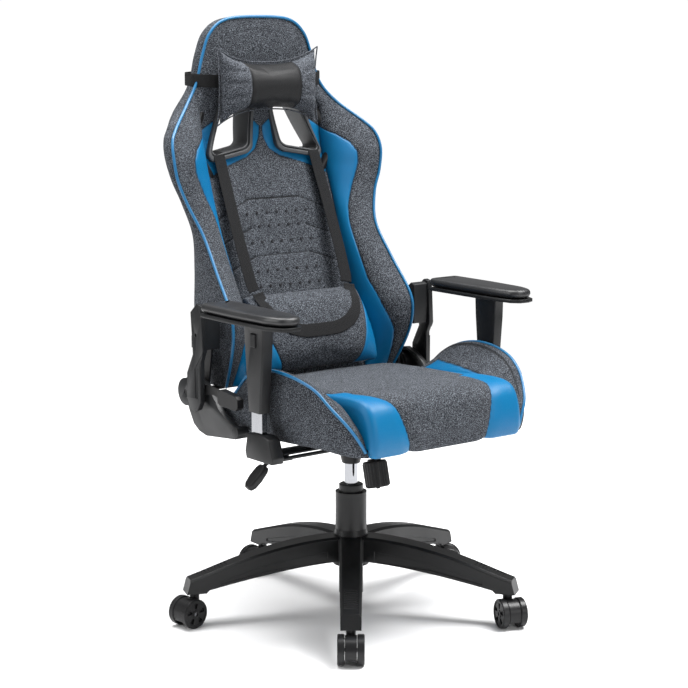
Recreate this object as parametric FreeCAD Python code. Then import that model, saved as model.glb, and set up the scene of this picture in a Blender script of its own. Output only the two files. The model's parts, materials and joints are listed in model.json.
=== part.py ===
import FreeCAD, Part
import math
import os

from FreeCAD import Vector

os.makedirs("parts", exist_ok=True)

# Bucket-style office chair. Millimetres, +Z up, origin on the floor under the gas column.
# The sitter faces -Y; the sitter's right is -X.

# --- driving dimensions ---
legCount = 5
firstLegAngle = -128.1      # degrees, the leg under the front left of the seat
stemRadius = 332.5          # castor stems from the column axis
tipRadius = 352.0
hubTop = 162.0
socketZ = 68.0              # underside of the castor sockets
wheelRadius = 30.0
wheelWidth = 14.0
hoodWidth = 23.0
castorTrail = 18.0          # axle behind the stem
castorTurns = [-128.1, -110.0, -38.0, 175.0, -173.0]   # rest direction of each castor
stemR = 5.5
axleR = 4.0
runGap = 0.05               # radial clearance of every turning shaft

tubeR = 25.0                # outer tube of the gas spring
chromeR = 14.0
rodR = 5.0
tubeTop = 269.0
chromeBottom, chromeTop = 110.0, 358.0

tiltY, tiltZ = -28.0, 370.0         # tilt axle
tiltAxleR = 6.0
knobY, knobTop, knobHeight, knobR = -76.0, 330.0, 54.0, 25.5
knobLean = 14.0             # degrees, knob foot forward
plateZ, plateT = 384.0, 4.0
leverY, leverZ = -45.0, 358.0
leverPivotX = -58.0

seatBottom, seatTop = 400.0, 503.0
seatHalf = 190.0            # half width of the middle cushion
seatBack = 110.0

reclineY, reclineZ = 165.0, 470.0
reclineRodR = 5.0
stubR = 9.0
backHalf = 100.0            # half width of the middle strip of the back
backFoot = 492.0

armX, armY = 294.0, -91.0
armPostW, armPostT = 34.0, 12.0
armPostTop = 600.0
sleeveBottom, sleeveTop = 470.0, 640.0


# --- helpers ---
def save(name, *shapes):
    shape = shapes[0] if len(shapes) == 1 else Part.makeCompound(list(shapes))
    shape.exportStep("parts/" + name + ".step")


def box(x, y, z):
    corner = Vector(x[0], y[0], z[0])
    return Part.makeBox(x[1] - x[0], y[1] - y[0], z[1] - z[0], corner)


def rod(start, end, radius):
    start, end = Vector(*start), Vector(*end)
    return Part.makeCylinder(radius, (end - start).Length, start, end - start)


def upright(x, y, low, high, radius):
    return rod((x, y, low), (x, y, high), radius)


def face(points):
    corners = [Vector(*point) for point in points]
    return Part.Face(Part.makePolygon(corners + corners[:1]))


def sidePrism(outline, x):
    # an outline in (y, z) drawn out along X
    flat = face([(x[0], y, z) for y, z in outline])
    return flat.extrude(Vector(x[1] - x[0], 0, 0))


def frontPrism(outline, y):
    # an outline in (x, z) drawn out along Y
    flat = face([(x, y[0], z) for x, z in outline])
    return flat.extrude(Vector(0, y[1] - y[0], 0))


def ruled(sections):
    # straight-sided skin through closed polygons with the same number of corners
    wires = []
    for points in sections:
        corners = [Vector(*point) for point in points]
        wires.append(Part.makePolygon(corners + corners[:1]))
    return Part.makeLoft(wires, True, True)


def bentTube(points, radius):
    # straight tubes with a slightly larger weld ball at each bend
    shape = rod(points[0], points[1], radius)
    for start, end in zip(points[1:], points[2:]):
        shape = shape.fuse(Part.makeSphere(radius * 1.06, Vector(*start)))
        shape = shape.fuse(rod(start, end, radius))
    return shape


def mirrored(shape):
    return shape.mirror(Vector(0, 0, 0), Vector(1, 0, 0))


def turned(shape, degrees):
    copy = shape.copy()
    copy.rotate(Vector(0, 0, 0), Vector(0, 0, 1), degrees)
    return copy


def longEdges(shape, least, direction, low):
    # straight-ish edges above z = low that run mostly along the given axis
    chosen = []
    for edge in shape.Edges:
        span = edge.Vertexes[-1].Point - edge.Vertexes[0].Point
        if edge.Length > least and abs(span.dot(direction)) > 0.8 * span.Length:
            if edge.CenterOfMass.z > low(edge.CenterOfMass.x):
                chosen.append(edge)
    return chosen


def between(table, value):
    # straight-line reading of a short list of (position, value) pairs
    for (a, va), (b, vb) in zip(table, table[1:]):
        if value <= b:
            return va + (vb - va) * (value - a) / (b - a)
    return table[-1][1]


# --- five-legged base ---
legTop = [(26, 162), (100, 158), (180, 145), (250, 127), (315, 106), (344, 97)]
legUnder = [(tipRadius, socketZ), (312, socketZ), (306, 74), (250, 85), (180, 97), (100, 107), (26, 111)]
legHalfHub, legHalfTip = 25.0, 20.0


def legProfile(inset):
    # side view of one leg along +X, arched top and underside
    top = Part.BSplineCurve()
    top.interpolate([Vector(r, 0, z - inset) for r, z in legTop])
    under = Part.BSplineCurve()
    under.interpolate([Vector(r, 0, z) for r, z in legUnder[2:]])
    corners = [Vector(r, 0, z) for r, z in legUnder[:3]]
    tip = Vector(legTop[-1][0], 0, legTop[-1][1] - inset)
    edges = [top.toShape(), Part.makeLine(tip, corners[0])]
    edges += [Part.makeLine(a, b) for a, b in zip(corners, corners[1:])]
    edges.append(under.toShape())
    edges.append(Part.makeLine(Vector(26, 0, 111), Vector(26, 0, 162 - inset)))
    return Part.Face(Part.Wire(edges))


def leg():
    reach = legHalfHub + 5
    side = legProfile(0)
    side.translate(Vector(0, -reach, 0))
    body = side.extrude(Vector(0, 2 * reach, 0))
    plan = face([(20, -legHalfHub, 60), (tipRadius + 1, -legHalfTip, 60),
                 (tipRadius + 1, legHalfTip, 60), (20, legHalfHub, 60)])
    body = body.common(plan.extrude(Vector(0, 0, 110)))
    ridge = longEdges(body, 100, Vector(1, 0, 0), lambda r: between(legTop, r) - 12)
    body = body.makeChamfer(4.5, ridge)
    # shallow panel along the lower half of each flank
    panel = [(58, 112), (180, 104), (285, 84), (285, 90), (180, 118), (58, 134)]
    recess = face([(r, -reach, z) for r, z in panel]).extrude(Vector(0, 2 * reach, 0))
    core = face([(20, -legHalfHub + 1.6, 60), (tipRadius, -legHalfTip + 1.6, 60),
                 (tipRadius, legHalfTip - 1.6, 60), (20, legHalfHub - 1.6, 60)])
    body = body.cut(recess.cut(core.extrude(Vector(0, 0, 110))))
    # fine grip grooves across the top near the tip
    grooveCount, groovePitch, firstGroove = 9, 7.0, 268.0
    for index in range(grooveCount):
        r = firstGroove + groovePitch * index
        z = between(legTop, r)
        body = body.cut(rod((r, -13, z + 0.6), (r, 13, z + 0.6), 2.0))
    return body


def starBase():
    hub = upright(0, 0, 100, hubTop, 37)
    one = leg()
    shape = hub
    for index in range(legCount):
        shape = shape.fuse(turned(one, firstLegAngle + 72 * index))
    for index in range(legCount):
        angle = math.radians(firstLegAngle + 72 * index)
        x, y = stemRadius * math.cos(angle), stemRadius * math.sin(angle)
        shape = shape.cut(upright(x, y, socketZ - 5, socketZ + 24, stemR + runGap))
    return shape.cut(upright(0, 0, 90, hubTop + 1, tubeR))


save("star_base", starBase())


# --- castors: built with the stem on the Z axis and the axle trailing along +X ---
def castorHood():
    half = hoodWidth / 2
    disc = rod((castorTrail, -half, wheelRadius), (castorTrail, half, wheelRadius), 28.0)
    disc = disc.cut(box((-20, 60), (-40, 40), (-1, 15)))
    disc = disc.cut(box((-20, 6), (-40, 40), (-1, 34)))
    neck = upright(0, 0, 40, 65.5, 9.5)
    shape = disc.fuse(neck)
    shape = shape.cut(upright(0, 0, 38, 70, stemR))
    return shape.cut(rod((castorTrail, -20, wheelRadius), (castorTrail, 20, wheelRadius), axleR))


def castorPins():
    reach = hoodWidth / 2 + wheelWidth - 1.5
    stem = upright(0, 0, 41, socketZ + 22, stemR)
    axle = rod((castorTrail, -reach, wheelRadius), (castorTrail, reach, wheelRadius), axleR)
    return [stem, axle]


def castorWheel():
    # one wheel on the +Y side of the hood, five windows in its outer face
    inner = hoodWidth / 2 + 0.6
    outer = inner + wheelWidth
    start = (castorTrail, inner, wheelRadius)
    shape = rod(start, (castorTrail, outer, wheelRadius), wheelRadius)
    shape = shape.makeChamfer(1.8, [e for e in shape.Edges if e.Closed])
    ring = rod((castorTrail, outer - 1.2, wheelRadius), (castorTrail, outer + 1, wheelRadius), 24.5)
    boss = rod((castorTrail, outer - 2, wheelRadius), (castorTrail, outer + 2, wheelRadius), 7.5)
    shape = shape.cut(ring.cut(boss))
    window = [(-2.2, 10), (2.2, 10), (5.2, 20.5), (2.0, 22.2), (-2.0, 22.2), (-5.2, 20.5)]
    for index in range(5):
        cut = face([(castorTrail + x, outer - 5, wheelRadius + z) for x, z in window])
        cut = cut.extrude(Vector(0, 8, 0))
        cut.rotate(Vector(castorTrail, 0, wheelRadius), Vector(0, 1, 0), 72 * index)
        shape = shape.cut(cut)
    return shape.cut(rod((castorTrail, 0, wheelRadius), (castorTrail, 40, wheelRadius), axleR + runGap))


hood, pins, wheel = castorHood(), castorPins(), castorWheel()
otherWheel = wheel.mirror(Vector(0, 0, 0), Vector(0, 1, 0))
for index in range(legCount):
    angle = math.radians(firstLegAngle + 72 * index)
    place = FreeCAD.Placement(
        Vector(stemRadius * math.cos(angle), stemRadius * math.sin(angle), 0),
        FreeCAD.Rotation(Vector(0, 0, 1), castorTurns[index]))
    name = "castor_%d_" % (index + 1)
    for node, solids in (("hood", [hood]), ("pins", pins), ("wheel_a", [wheel]), ("wheel_b", [otherWheel])):
        placed = [solid.transformed(place.toMatrix()) for solid in solids]
        save(name + node, *placed)


# --- gas column ---
def gasOuterTube():
    shape = upright(0, 0, 38, tubeTop, tubeR)
    shape = shape.cut(upright(0, 0, 44, tubeTop - 12, 18))
    shape = shape.cut(upright(0, 0, 40, tubeTop + 1, chromeR + runGap))
    shape = shape.cut(upright(0, 0, 30, 45, rodR + runGap))
    lip = upright(0, 0, tubeTop - 1.5, tubeTop + 1, tubeR).cut(upright(0, 0, 200, 300, 22.5))
    return shape.cut(lip)


def columnCover():
    lower = Part.makeCone(35.5, 33, 12, Vector(0, 0, hubTop))
    shape = lower.fuse(upright(0, 0, hubTop + 12, 253, 32.5))
    return shape.cut(upright(0, 0, hubTop - 1, 260, tubeR))


def pistonRod():
    piston = upright(0, 0, 166, 176, 10.8)
    clip = upright(0, 0, 35.2, 37.6, 9)
    return upright(0, 0, 34, 172, rodR).fuse(piston).fuse(clip)


def gasCylinder():
    shape = upright(0, 0, chromeBottom, chromeTop, chromeR)
    shape = shape.cut(upright(0, 0, chromeBottom + 5, chromeTop - 20, 11))
    shape = shape.cut(upright(0, 0, chromeBottom - 1, 140, rodR + runGap))
    return shape.fuse(upright(0, 0, chromeTop, chromeTop + 4, 4))


save("gas_outer_tube", gasOuterTube())
save("column_cover", columnCover())
save("piston_rod", pistonRod())
save("gas_cylinder", gasCylinder())


# --- tilt mechanism ---
def leaned(shape):
    # tips a shape about the knob's top centre so that its foot comes forward
    copy = shape.copy()
    copy.rotate(Vector(0, knobY, knobTop), Vector(1, 0, 0), -knobLean)
    return copy


def tiltHousing():
    wall = 3.0
    side = [(-98, 357), (-62, 357), (-48, 344), (44, 344), (44, 356), (12, 362), (-14, 379), (-42, 379), (-98, 374)]
    outside = sidePrism(side, (-32, 32))
    inside = sidePrism(side, (-32 + wall, 32 - wall))
    shape = outside.cut(inside.cut(box((-40, 40), (-110, 60), (300, 347))))
    cone = Part.makeCone(19, 27, 33, Vector(0, 0, 313))
    shape = shape.fuse(cone)
    cup = leaned(upright(0, knobY, knobTop + 20, knobTop + 50, 24))
    shape = shape.fuse(cup.common(box((-29.5, 29.5), (-97.5, -44), (357, 372))))
    shape = shape.cut(upright(0, 0, 300, chromeTop + 10, chromeR))
    shape = shape.cut(leaned(upright(0, knobY, knobTop - 5, knobTop + 33, 19)))
    shape = shape.cut(leaned(upright(0, knobY, knobTop - 5, knobTop + 60, 10)))
    shape = shape.cut(rod((-40, tiltY, tiltZ), (40, tiltY, tiltZ), tiltAxleR))
    # window for the lock pin, long enough for the whole tilt
    return shape.cut(box((-40, -20), (leverY - 15, leverY + 13), (347.5, 372)))


def mechanismPlate():
    shape = box((-110, 110), (-135, 125), (plateZ, plateZ + plateT))
    cheek = [(-72, plateZ), (22, plateZ), (10, 366), (-14, 352), (-62, 346), (-72, 356)]
    for side in (-1, 1):
        x = sorted((side * 44, side * 47))
        shape = shape.fuse(sidePrism([(y, z) for y, z in cheek], x))
    shape = shape.cut(rod((-60, tiltY, tiltZ), (60, tiltY, tiltZ), tiltAxleR + runGap))
    shape = shape.cut(rod((-60, leverY, leverZ), (60, leverY, leverZ), 5 + runGap))
    bolt = leaned(upright(0, knobY, knobTop - knobHeight - 3, knobTop + 70, 4))
    shape = shape.fuse(bolt.common(box((-20, 20), (-140, 0), (200, plateZ + plateT))))
    for x in (-80, 80):
        for y in (-90, 90):
            shape = shape.cut(upright(x, y, plateZ - 1, plateZ + 6, 4 + runGap))
    return shape


def tensionKnob():
    ribCount, ribR = 24, 1.7
    shape = upright(0, knobY, knobTop - knobHeight, knobTop, knobR - 1)
    shape = shape.makeChamfer(2.5, [e for e in shape.Edges if e.Closed])
    for index in range(ribCount):
        angle = 2 * math.pi * index / ribCount
        x, y = (knobR - 1.6) * math.cos(angle), knobY + (knobR - 1.6) * math.sin(angle)
        shape = shape.fuse(upright(x, y, knobTop - knobHeight + 3, knobTop - 5, ribR))
    collar = upright(0, knobY, knobTop, knobTop + 4, 14)
    shape = shape.fuse(collar)
    return leaned(shape.cut(upright(0, knobY, knobTop - 100, knobTop + 9, 4 + runGap)))


def tensionSpring():
    wire, coil, turns, height = 2.0, 13.0, 4, 24.0
    path = Part.makeHelix(height / turns, height, coil)
    ring = Part.Wire([Part.Circle(Vector(coil, 0, 0), Vector(0, 1, 0), wire).toShape()])
    shape = Part.Wire(path.Edges).makePipeShell([ring], True, True)
    shape.translate(Vector(0, knobY, knobTop + 4 + wire + 0.5))
    return leaned(shape)


def tiltLockBolt():
    pin = rod((-52, leverY, leverZ), (-26, leverY, leverZ), 5)
    clevis = box((-67, -50), (leverY - 8, leverY + 8), (leverZ - 8, leverZ + 8))
    clevis = clevis.cut(box((-70, -52), (leverY - 2.3, leverY + 2.3), (leverZ - 10, leverZ + 10)))
    pivot = rod((leverPivotX, leverY - 6, leverZ), (leverPivotX, leverY + 6, leverZ), 2)
    return pin.fuse(clevis).fuse(pivot)


def heightLever():
    tongue = box((-76, leverPivotX), (leverY - 2, leverY + 2), (leverZ - 4, leverZ + 4))
    eye = rod((leverPivotX, leverY - 2, leverZ), (leverPivotX, leverY + 2, leverZ), 4)
    path = [(-72, leverY, leverZ), (-236, leverY, leverZ - 1), (-246, leverY, leverZ - 5),
            (-262, leverY, leverZ - 20)]
    shape = bentTube(path, 4).fuse(tongue).fuse(eye)
    return shape.cut(rod((leverPivotX, leverY - 9, leverZ), (leverPivotX, leverY + 9, leverZ), 2 + runGap))


def leverGrip():
    # flat oval paddle in line with the bent end of the lever
    outline = [(-9, 0), (-14, -8), (-16, -30), (-13, -48), (-6, -56), (6, -56),
               (13, -48), (16, -30), (14, -8), (9, 0)]
    flat = face([(0, y, z) for y, z in outline])
    shape = flat.extrude(Vector(15, 0, 0))
    shape.translate(Vector(-7.5, 0, 0))
    shape = shape.makeChamfer(2.5, [e for e in shape.Edges if abs(e.tangentAt(e.FirstParameter).x) < 0.1])
    shape.rotate(Vector(0, 0, 0), Vector(0, 1, 0), 45)
    shape.translate(Vector(-250, leverY, leverZ - 9))
    return shape.cut(rod((-246, leverY, leverZ - 5), (-262, leverY, leverZ - 20), 4)
                     .fuse(Part.makeSphere(4, Vector(-246, leverY, leverZ - 5))))


axleEnd = 50.5
tiltAxle = rod((-axleEnd, tiltY, tiltZ), (axleEnd, tiltY, tiltZ), tiltAxleR)
save("tilt_housing", tiltHousing())
save("tilt_axle", tiltAxle)
save("mechanism_plate", mechanismPlate())
save("tension_knob", tensionKnob())
save("tension_spring", tensionSpring())
save("tilt_lock_bolt", tiltLockBolt())
save("height_lever", heightLever())
save("lever_grip", leverGrip())


# --- seat ---
frameTube = 10.0
frameZ = 416.0
platesX = (254.5, 258.5)            # seat side plates that carry the recline pivot


def seatFrame():
    loop = [(-165, 100, frameZ), (-165, -235, frameZ), (165, -235, frameZ), (165, 100, frameZ), (-165, 100, frameZ)]
    shape = bentTube(loop, frameTube)
    shape = shape.fuse(rod((-250, 88, frameZ), (250, 88, frameZ), frameTube))
    for y in (-90, 90):
        shape = shape.fuse(box((-165, 165), (y - 18, y + 18), (seatBottom, seatBottom + 5)))
    plate = [(64, 402), (112, 402), (185, 452), (185, 484), (172, 492), (150, 488), (140, 470), (112, 432), (64, 430)]
    for side in (-1, 1):
        x = sorted((side * platesX[0], side * platesX[1]))
        shape = shape.fuse(sidePrism(plate, x))
        stub = sorted((side * 243.5, side * (platesX[0] + 2)))
        shape = shape.fuse(rod((stub[0], reclineY, reclineZ), (stub[1], reclineY, reclineZ), stubR))
        link = sorted((side * 240, side * (platesX[0] + 2)))
        shape = shape.fuse(rod((link[0], 88, frameZ), (link[1], 88, frameZ), frameTube))
    shape = shape.cut(rod((-300, reclineY, reclineZ), (300, reclineY, reclineZ), reclineRodR + runGap))
    for x in (-80, 80):
        for y in (-90, 90):
            shape = shape.cut(upright(x, y, seatBottom - 1, seatBottom + 12, 4 + runGap))
    return shape


def seatBolts():
    # four bolts through the plate and the frame, each with its spacer
    solids = []
    for x in (-80, 80):
        for y in (-90, 90):
            bolt = upright(x, y, plateZ - 5, plateZ, 7).fuse(upright(x, y, plateZ, seatBottom + 10, 4))
            spacer = upright(x, y, plateZ + plateT, seatBottom, 9).cut(upright(x, y, 380, 410, 4 + runGap))
            solids += [bolt, spacer]
    return solids


cushionSide = [(seatBack, seatBottom), (seatBack, 482), (20, 490), (-205, seatTop), (-268, 500), (-291, 486),
               (-303, 459), (-307, 428), (-302, seatBottom)]
wingStations = [
    # y, outer x, top z of the outer edge, underside z
    (-290, 204, 414, 402), (-275, 222, 461, 404), (-244, 243, 497, 407), (-217, 251, 522, 408),
    (-185, 257, 535, 408), (-100, 262, 546, 405), (-40, 262, 538, 402), (0, 260, 518, 402),
    (40, 254, 486, 402), (60, 251, 470, 402), (seatBack, 249, 458, 402)]


def seatWing():
    sections = []
    for y, outer, top, under in wingStations:
        inner = min(top - 2, between(sorted(cushionSide[1:6]), y) if y < seatBack else 482)
        shoulder = max(top - 14, under + 4)
        inside = min(seatHalf, outer - 12)
        sections.append([(inside, y, under), (outer - 6, y, under), (outer, y, shoulder),
                         (outer - 8, y, top), (inside, y, min(inner, top - 1))])
    return ruled(sections)


frame = seatFrame()


def seatMiddle():
    # foam block with channels underneath for the frame's tubes, its cross strips and the bolt ends
    shape = sidePrism(cushionSide, (-seatHalf, seatHalf))
    wide, roof = frameTube + 1, frameZ + frameTube + 1
    for side in (-1, 1):
        x = sorted((side * (165 - wide), side * (165 + wide)))
        shape = shape.cut(box(x, (-235 - wide, seatBack + 1), (seatBottom - 1, roof)))
    shape = shape.cut(box((-160, 160), (-235 - wide, -235 + wide), (seatBottom - 1, roof)))
    shape = shape.cut(box((-seatHalf - 1, seatHalf + 1), (88 - wide, seatBack + 1), (seatBottom - 1, roof)))
    for y in (-90, 90):
        shape = shape.cut(box((-160, 160), (y - 18, y + 18), (seatBottom - 1, seatBottom + 5)))
        for x in (-80, 80):
            shape = shape.cut(box((x - 5, x + 5), (y - 5, y + 5), (seatBottom, seatBottom + 12)))
    return shape


seatCushion = seatMiddle()
wing = seatWing()
save("seat_frame", frame)
save("seat_bolts", *seatBolts())
save("seat_cushion", seatCushion)
save("seat_wing_left", wing.cut(frame))
save("seat_wing_right", mirrored(wing).cut(frame))

# lower hinge covers, screwed to the seat's sides
lowerCover = [(186, 462), (189, 484), (176, 500), (150, 504), (120, 494), (95, 479), (67, 447), (34, 428),
              (12, 421), (-3, 417), (-4, 404), (8, 397), (26, 395), (111, 387), (137, 393), (156, 405), (172, 431)]


def hingeCoverLower():
    # shell with an open inner side, a round boss at its front foot
    outside = sidePrism(lowerCover, (268, 281))
    middleY, middleZ, shrink = 100, 440, 0.9
    hollow = [(middleY + (y - middleY) * shrink, middleZ + (z - middleZ) * shrink) for y, z in lowerCover]
    shape = outside.cut(sidePrism(hollow, (260, 278)))
    shape = shape.fuse(rod((258, 7, 410), (284, 7, 410), 12))
    shape = shape.fuse(rod((266, reclineY, reclineZ), (281, reclineY, reclineZ), 20))
    return shape.cut(rod((250, reclineY, reclineZ), (300, reclineY, reclineZ), reclineRodR + runGap))


lower = hingeCoverLower()
save("hinge_cover_lower_left", lower)
save("hinge_cover_lower_right", mirrored(lower))


# --- recline release: lever on the right side, rod across to the left hinge ---
def reclineLever():
    shape = rod((-293, reclineY, reclineZ), (283, reclineY, reclineZ), reclineRodR)
    arm = [(152, 466), (178, 466), (176, 486), (150, 492), (80, 492), (36, 486), (36, 470), (80, 476)]
    shape = shape.fuse(sidePrism(arm, (-286, -283)))
    return shape


def reclineGrip():
    outline = [(46, 466), (46, 490), (38, 494), (-14, 488), (-22, 482), (-22, 466), (-14, 460), (38, 462)]
    shape = sidePrism(outline, (-297, -282.5))
    slot = [(47, 469.5), (47, 488.5), (30, 487), (30, 469)]
    return shape.cut(sidePrism(slot, (-286, -283)))


lever = reclineLever()
save("recline_lever", lever, reclineGrip().cut(lever))


# --- back ---
frontCurve = [(backFoot, 153), (600, 187), (660, 206), (750, 236), (820, 258), (880, 281), (930, 304),
              (1000, 315), (1080, 320), (1213, 323)]
rearCurve = [(backFoot, 205), (600, 240), (750, 286), (880, 330), (1000, 364), (1120, 376), (1213, 366)]
edgeStations = [
    # z, outer x, front y and rear y of the outer edge
    (backFoot, 218, 126, 178), (553, 226, 93, 176), (600, 231, 83, 184), (649, 229, 105, 196), (706, 224, 150, 212),
    (784, 221, 200, 232), (850, 246, 226, 250), (900, 262, 230, 258)]
crownStations = [
    (900, 262, 230, 258), (955, 264, 244, 276), (985, 243, 264, 296), (1011, 213, 290, 326), (1036, 185, 306, 345),
    (1060, 166, 314, 355), (1107, 145, 320, 362), (1150, 132, 321, 364), (1180, 118, 322, 362),
    (1200, 84, 322, 356), (1213, 40, 323, 350)]
openingOuter = [(17, 1034), (32, 940), (46, 930), (138, 914), (148, 928), (108, 1030)]
openingInner = [(30, 1024), (44, 952), (54, 944), (130, 930), (136, 938), (98, 1020)]


def backWing():
    sections = []
    for z, outer, front, rear in edgeStations:
        yf, yr = between(frontCurve, z), between(rearCurve, z)
        sections.append([(backHalf, yf, z), (outer - 16, front + 2, z), (outer, front + 10, z),
                         (outer, rear - 6, z), (outer - 30, rear + 12, z), (backHalf, yr, z)])
    return ruled(sections)


def crown():
    # shoulders and head in one piece
    sections = []
    for z, outer, front, rear in crownStations:
        inner = min(backHalf, 0.62 * outer)
        yf, yr = between(frontCurve, z), between(rearCurve, z)
        half = [(inner, yf, z), (outer, front, z), (outer, rear, z), (inner, yr, z)]
        sections.append(half + [(-x, y, level) for x, y, level in reversed(half)])
    return ruled(sections)


def backMiddle():
    sections = []
    for z in [z for z, y in frontCurve if z < 900] + [900]:
        yf, yr = between(frontCurve, z), between(rearCurve, z)
        sections.append([(-backHalf, yf, z), (backHalf, yf, z), (backHalf, yr, z), (-backHalf, yr, z)])
    return ruled(sections)


def harnessBezel():
    # plastic rim round one opening, from just proud of the front to just proud of the back
    shape = frontPrism(openingOuter, (270, 385)).cut(frontPrism(openingInner, (260, 400)))
    return shape.common(crownSlab)


uprightX = 140.0


def backFrame():
    path = [(-uprightX, between(frontCurve, z) + drop, z)
            for z, drop in ((520, 15), (640, 14), (760, 14), (880, 13))]
    path += [(-172, 292, 930), (-165, 311, 985), (-118, 337, 1060), (-86, 343, 1150), (86, 343, 1150)]
    lowY, highY = path[0][1], path[3][1]
    plate = [(148, 456), (182, 456), (188, 480), (184, 560), (150, 588), (132, 560), (142, 500), (146, 476)]
    half = bentTube(path[:-1], 10)
    half = half.fuse(Part.makeSphere(11.5, Vector(-uprightX, lowY, 520)))
    half = half.fuse(rod((-uprightX, lowY, 520), (-250, lowY, 520), 10))
    half = half.fuse(sidePrism(plate, (-252, -248)))
    shape = half.fuse(mirrored(half))
    shape = shape.fuse(rod(path[-2], path[-1], 10))
    shape = shape.fuse(rod((-uprightX, lowY, 520), (uprightX, lowY, 520), 10))
    shape = shape.fuse(rod((-uprightX, highY, 880), (uprightX, highY, 880), 10))
    return shape.cut(rod((-300, reclineY, reclineZ), (300, reclineY, reclineZ), stubR + runGap))


crownSlab = crown()
bezel = harnessBezel()
holes = frontPrism(openingOuter, (200, 420))
backMetal = backFrame()
backCushion = backMiddle().fuse(crownSlab.cut(holes).cut(mirrored(holes))).cut(backMetal)
backSide = backWing()
save("back_frame", backMetal)
save("back_cushion", backCushion)
save("back_wing_left", backSide.cut(backMetal))
save("back_wing_right", mirrored(backSide).cut(backMetal))
save("harness_bezels", bezel, mirrored(bezel))

# upper hinge covers, screwed to the back's sides
upperCover = [(136, 636), (114, 655), (101, 652), (98, 631), (94, 562), (104, 540), (104, 458), (114, 441),
              (126, 436), (140, 441), (152, 461), (151, 511), (129, 552), (133, 600)]


def hingeCoverUpper():
    # face plate with a cranked groove, a block reaching in to the back's steel, a disc over the pivot
    shape = sidePrism(upperCover, (288, 299))
    block = [(133, 592), (134, 634), (114, 650), (103, 646), (101, 600), (104, 562), (150, 562), (150, 586)]
    shape = shape.fuse(sidePrism(block, (252, 288)))
    shape = shape.fuse(rod((288, reclineY, reclineZ), (294, reclineY, reclineZ), 28))
    groove = [(99, 553), (124, 524), (122, 464), (112, 464), (112, 520), (97, 543)]
    shape = shape.cut(sidePrism(groove, (297.2, 301)))
    shape = shape.cut(rod((296, 118, 592), (301, 118, 592), 3.5))
    return shape.cut(rod((250, reclineY, reclineZ), (310, reclineY, reclineZ), reclineRodR + runGap))


upper = hingeCoverUpper()
save("hinge_cover_upper_left", upper)
save("hinge_cover_upper_right", mirrored(upper))


# --- pillows ---
def headPillow():
    # along X: thin ends, fuller middle; the back face follows the head
    sections = []
    for x, front, rear, low, high in ((-128, 272, 298, 1002, 1146), (-60, 252, 309, 1014, 1128),
                                      (60, 252, 309, 1014, 1128), (128, 272, 298, 1002, 1146)):
        sections.append([(x, rear, low + 16), (x, front + 12, low), (x, front, low + 30),
                         (x, front, high - 30), (x, front + 12, high), (x, rear, high - 16)])
    return ruled(sections)


def lumbarPillow():
    # from a narrow face on the back's middle strip out to a wider front face
    def slab(y, z, half):
        return [(-half, y, z), (half, y, z)]
    back = slab(151.5, 497, 92) + slab(196.5, 640, 92)[::-1]
    middle = slab(126, 492, 130) + slab(174, 655, 126)[::-1]
    front = slab(106, 500, 154) + slab(150, 652, 148)[::-1]
    nose = slab(94, 530, 142) + slab(112, 620, 138)[::-1]
    return ruled([back, middle, front, nose])


save("headrest_pillow", headPillow())
save("lumbar_pillow", lumbarPillow())


# --- armrests ---
def armBracket():
    # steel bar under the seat and the moulded foot that holds the post
    foot = [(-152, 390), (-150, 378), (-66, 378), (-62, 392), (-70, 428), (-122, 430), (-140, 424)]
    shape = sidePrism(foot, (280.5, 308))
    shape = shape.fuse(box((250, 282), (-140, -70), (379, 386)))
    shape = shape.fuse(box((115, 262), (-126, -84), (386, 391)))
    shape = shape.fuse(box((250, 262), (-126, -84), (379, 391)))
    return shape.cut(post(0))


def post(clearance):
    halfT, halfW = armPostT / 2 + clearance, armPostW / 2 + clearance
    shape = box((armX - halfT, armX + halfT), (armY - halfW, armY + halfW), (400, armPostTop))
    return shape


sleeveSide = [(-110, sleeveBottom), (-72, sleeveBottom), (-66, 530), (-60, 600), (-58, sleeveTop),
              (-122, sleeveTop), (-121, 600), (-115, 530)]


def armSleeve():
    shape = sidePrism(sleeveSide, (armX - 12.5, armX + 12.5))
    edges = [e for e in shape.Edges if abs(e.Vertexes[0].X - e.Vertexes[-1].X) < 1
             and abs(e.Vertexes[0].Z - e.Vertexes[-1].Z) > 30]
    shape = shape.makeChamfer(2.5, edges)
    cavity = box((armX - 6.3, armX + 6.3), (armY - 17.3, armY + 17.3), (sleeveBottom - 5, armPostTop + 38))
    pocket = box((armX + 8.5, armX + 20), (armY - 8.4, armY + 8.4), (596.6, 623.4))
    return shape.cut(cavity).cut(pocket)


def armButton():
    shape = box((armX + 10.8, armX + 15), (armY - 8, armY + 8), (597, 623))
    return shape.makeChamfer(1.2, [e for e in shape.Edges if e.CenterOfMass.x > armX + 14.9])


padPlan = [(248, 62), (262, 66), (324, 66), (336, 58), (338, -60), (333, -170), (318, -206), (300, -214),
           (276, -212), (262, -196), (254, -150), (250, -60)]


def padShape(low, high, scale):
    centre = Vector(armX, armY + 15, 0)
    points = [(centre.x + (x - centre.x) * scale, centre.y + (y - centre.y) * scale, low) for x, y in padPlan]
    return face(points).extrude(Vector(0, 0, high - low))


def armPad():
    shape = padShape(647, 671, 1.0)
    return shape.makeChamfer(4.5, [e for e in shape.Edges if e.CenterOfMass.z > 670.9])


def armPadPlate():
    return padShape(640, 647, 0.93)


for side, flip in (("left", lambda s: s), ("right", mirrored)):
    save("arm_bracket_" + side, flip(armBracket()))
    save("arm_post_" + side, flip(post(0)))
    save("arm_sleeve_" + side, flip(armSleeve().fuse(armPadPlate())))
    save("arm_pad_" + side, flip(armPad()))
    save("arm_button_" + side, flip(armButton()))
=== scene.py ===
import json
from math import radians

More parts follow.
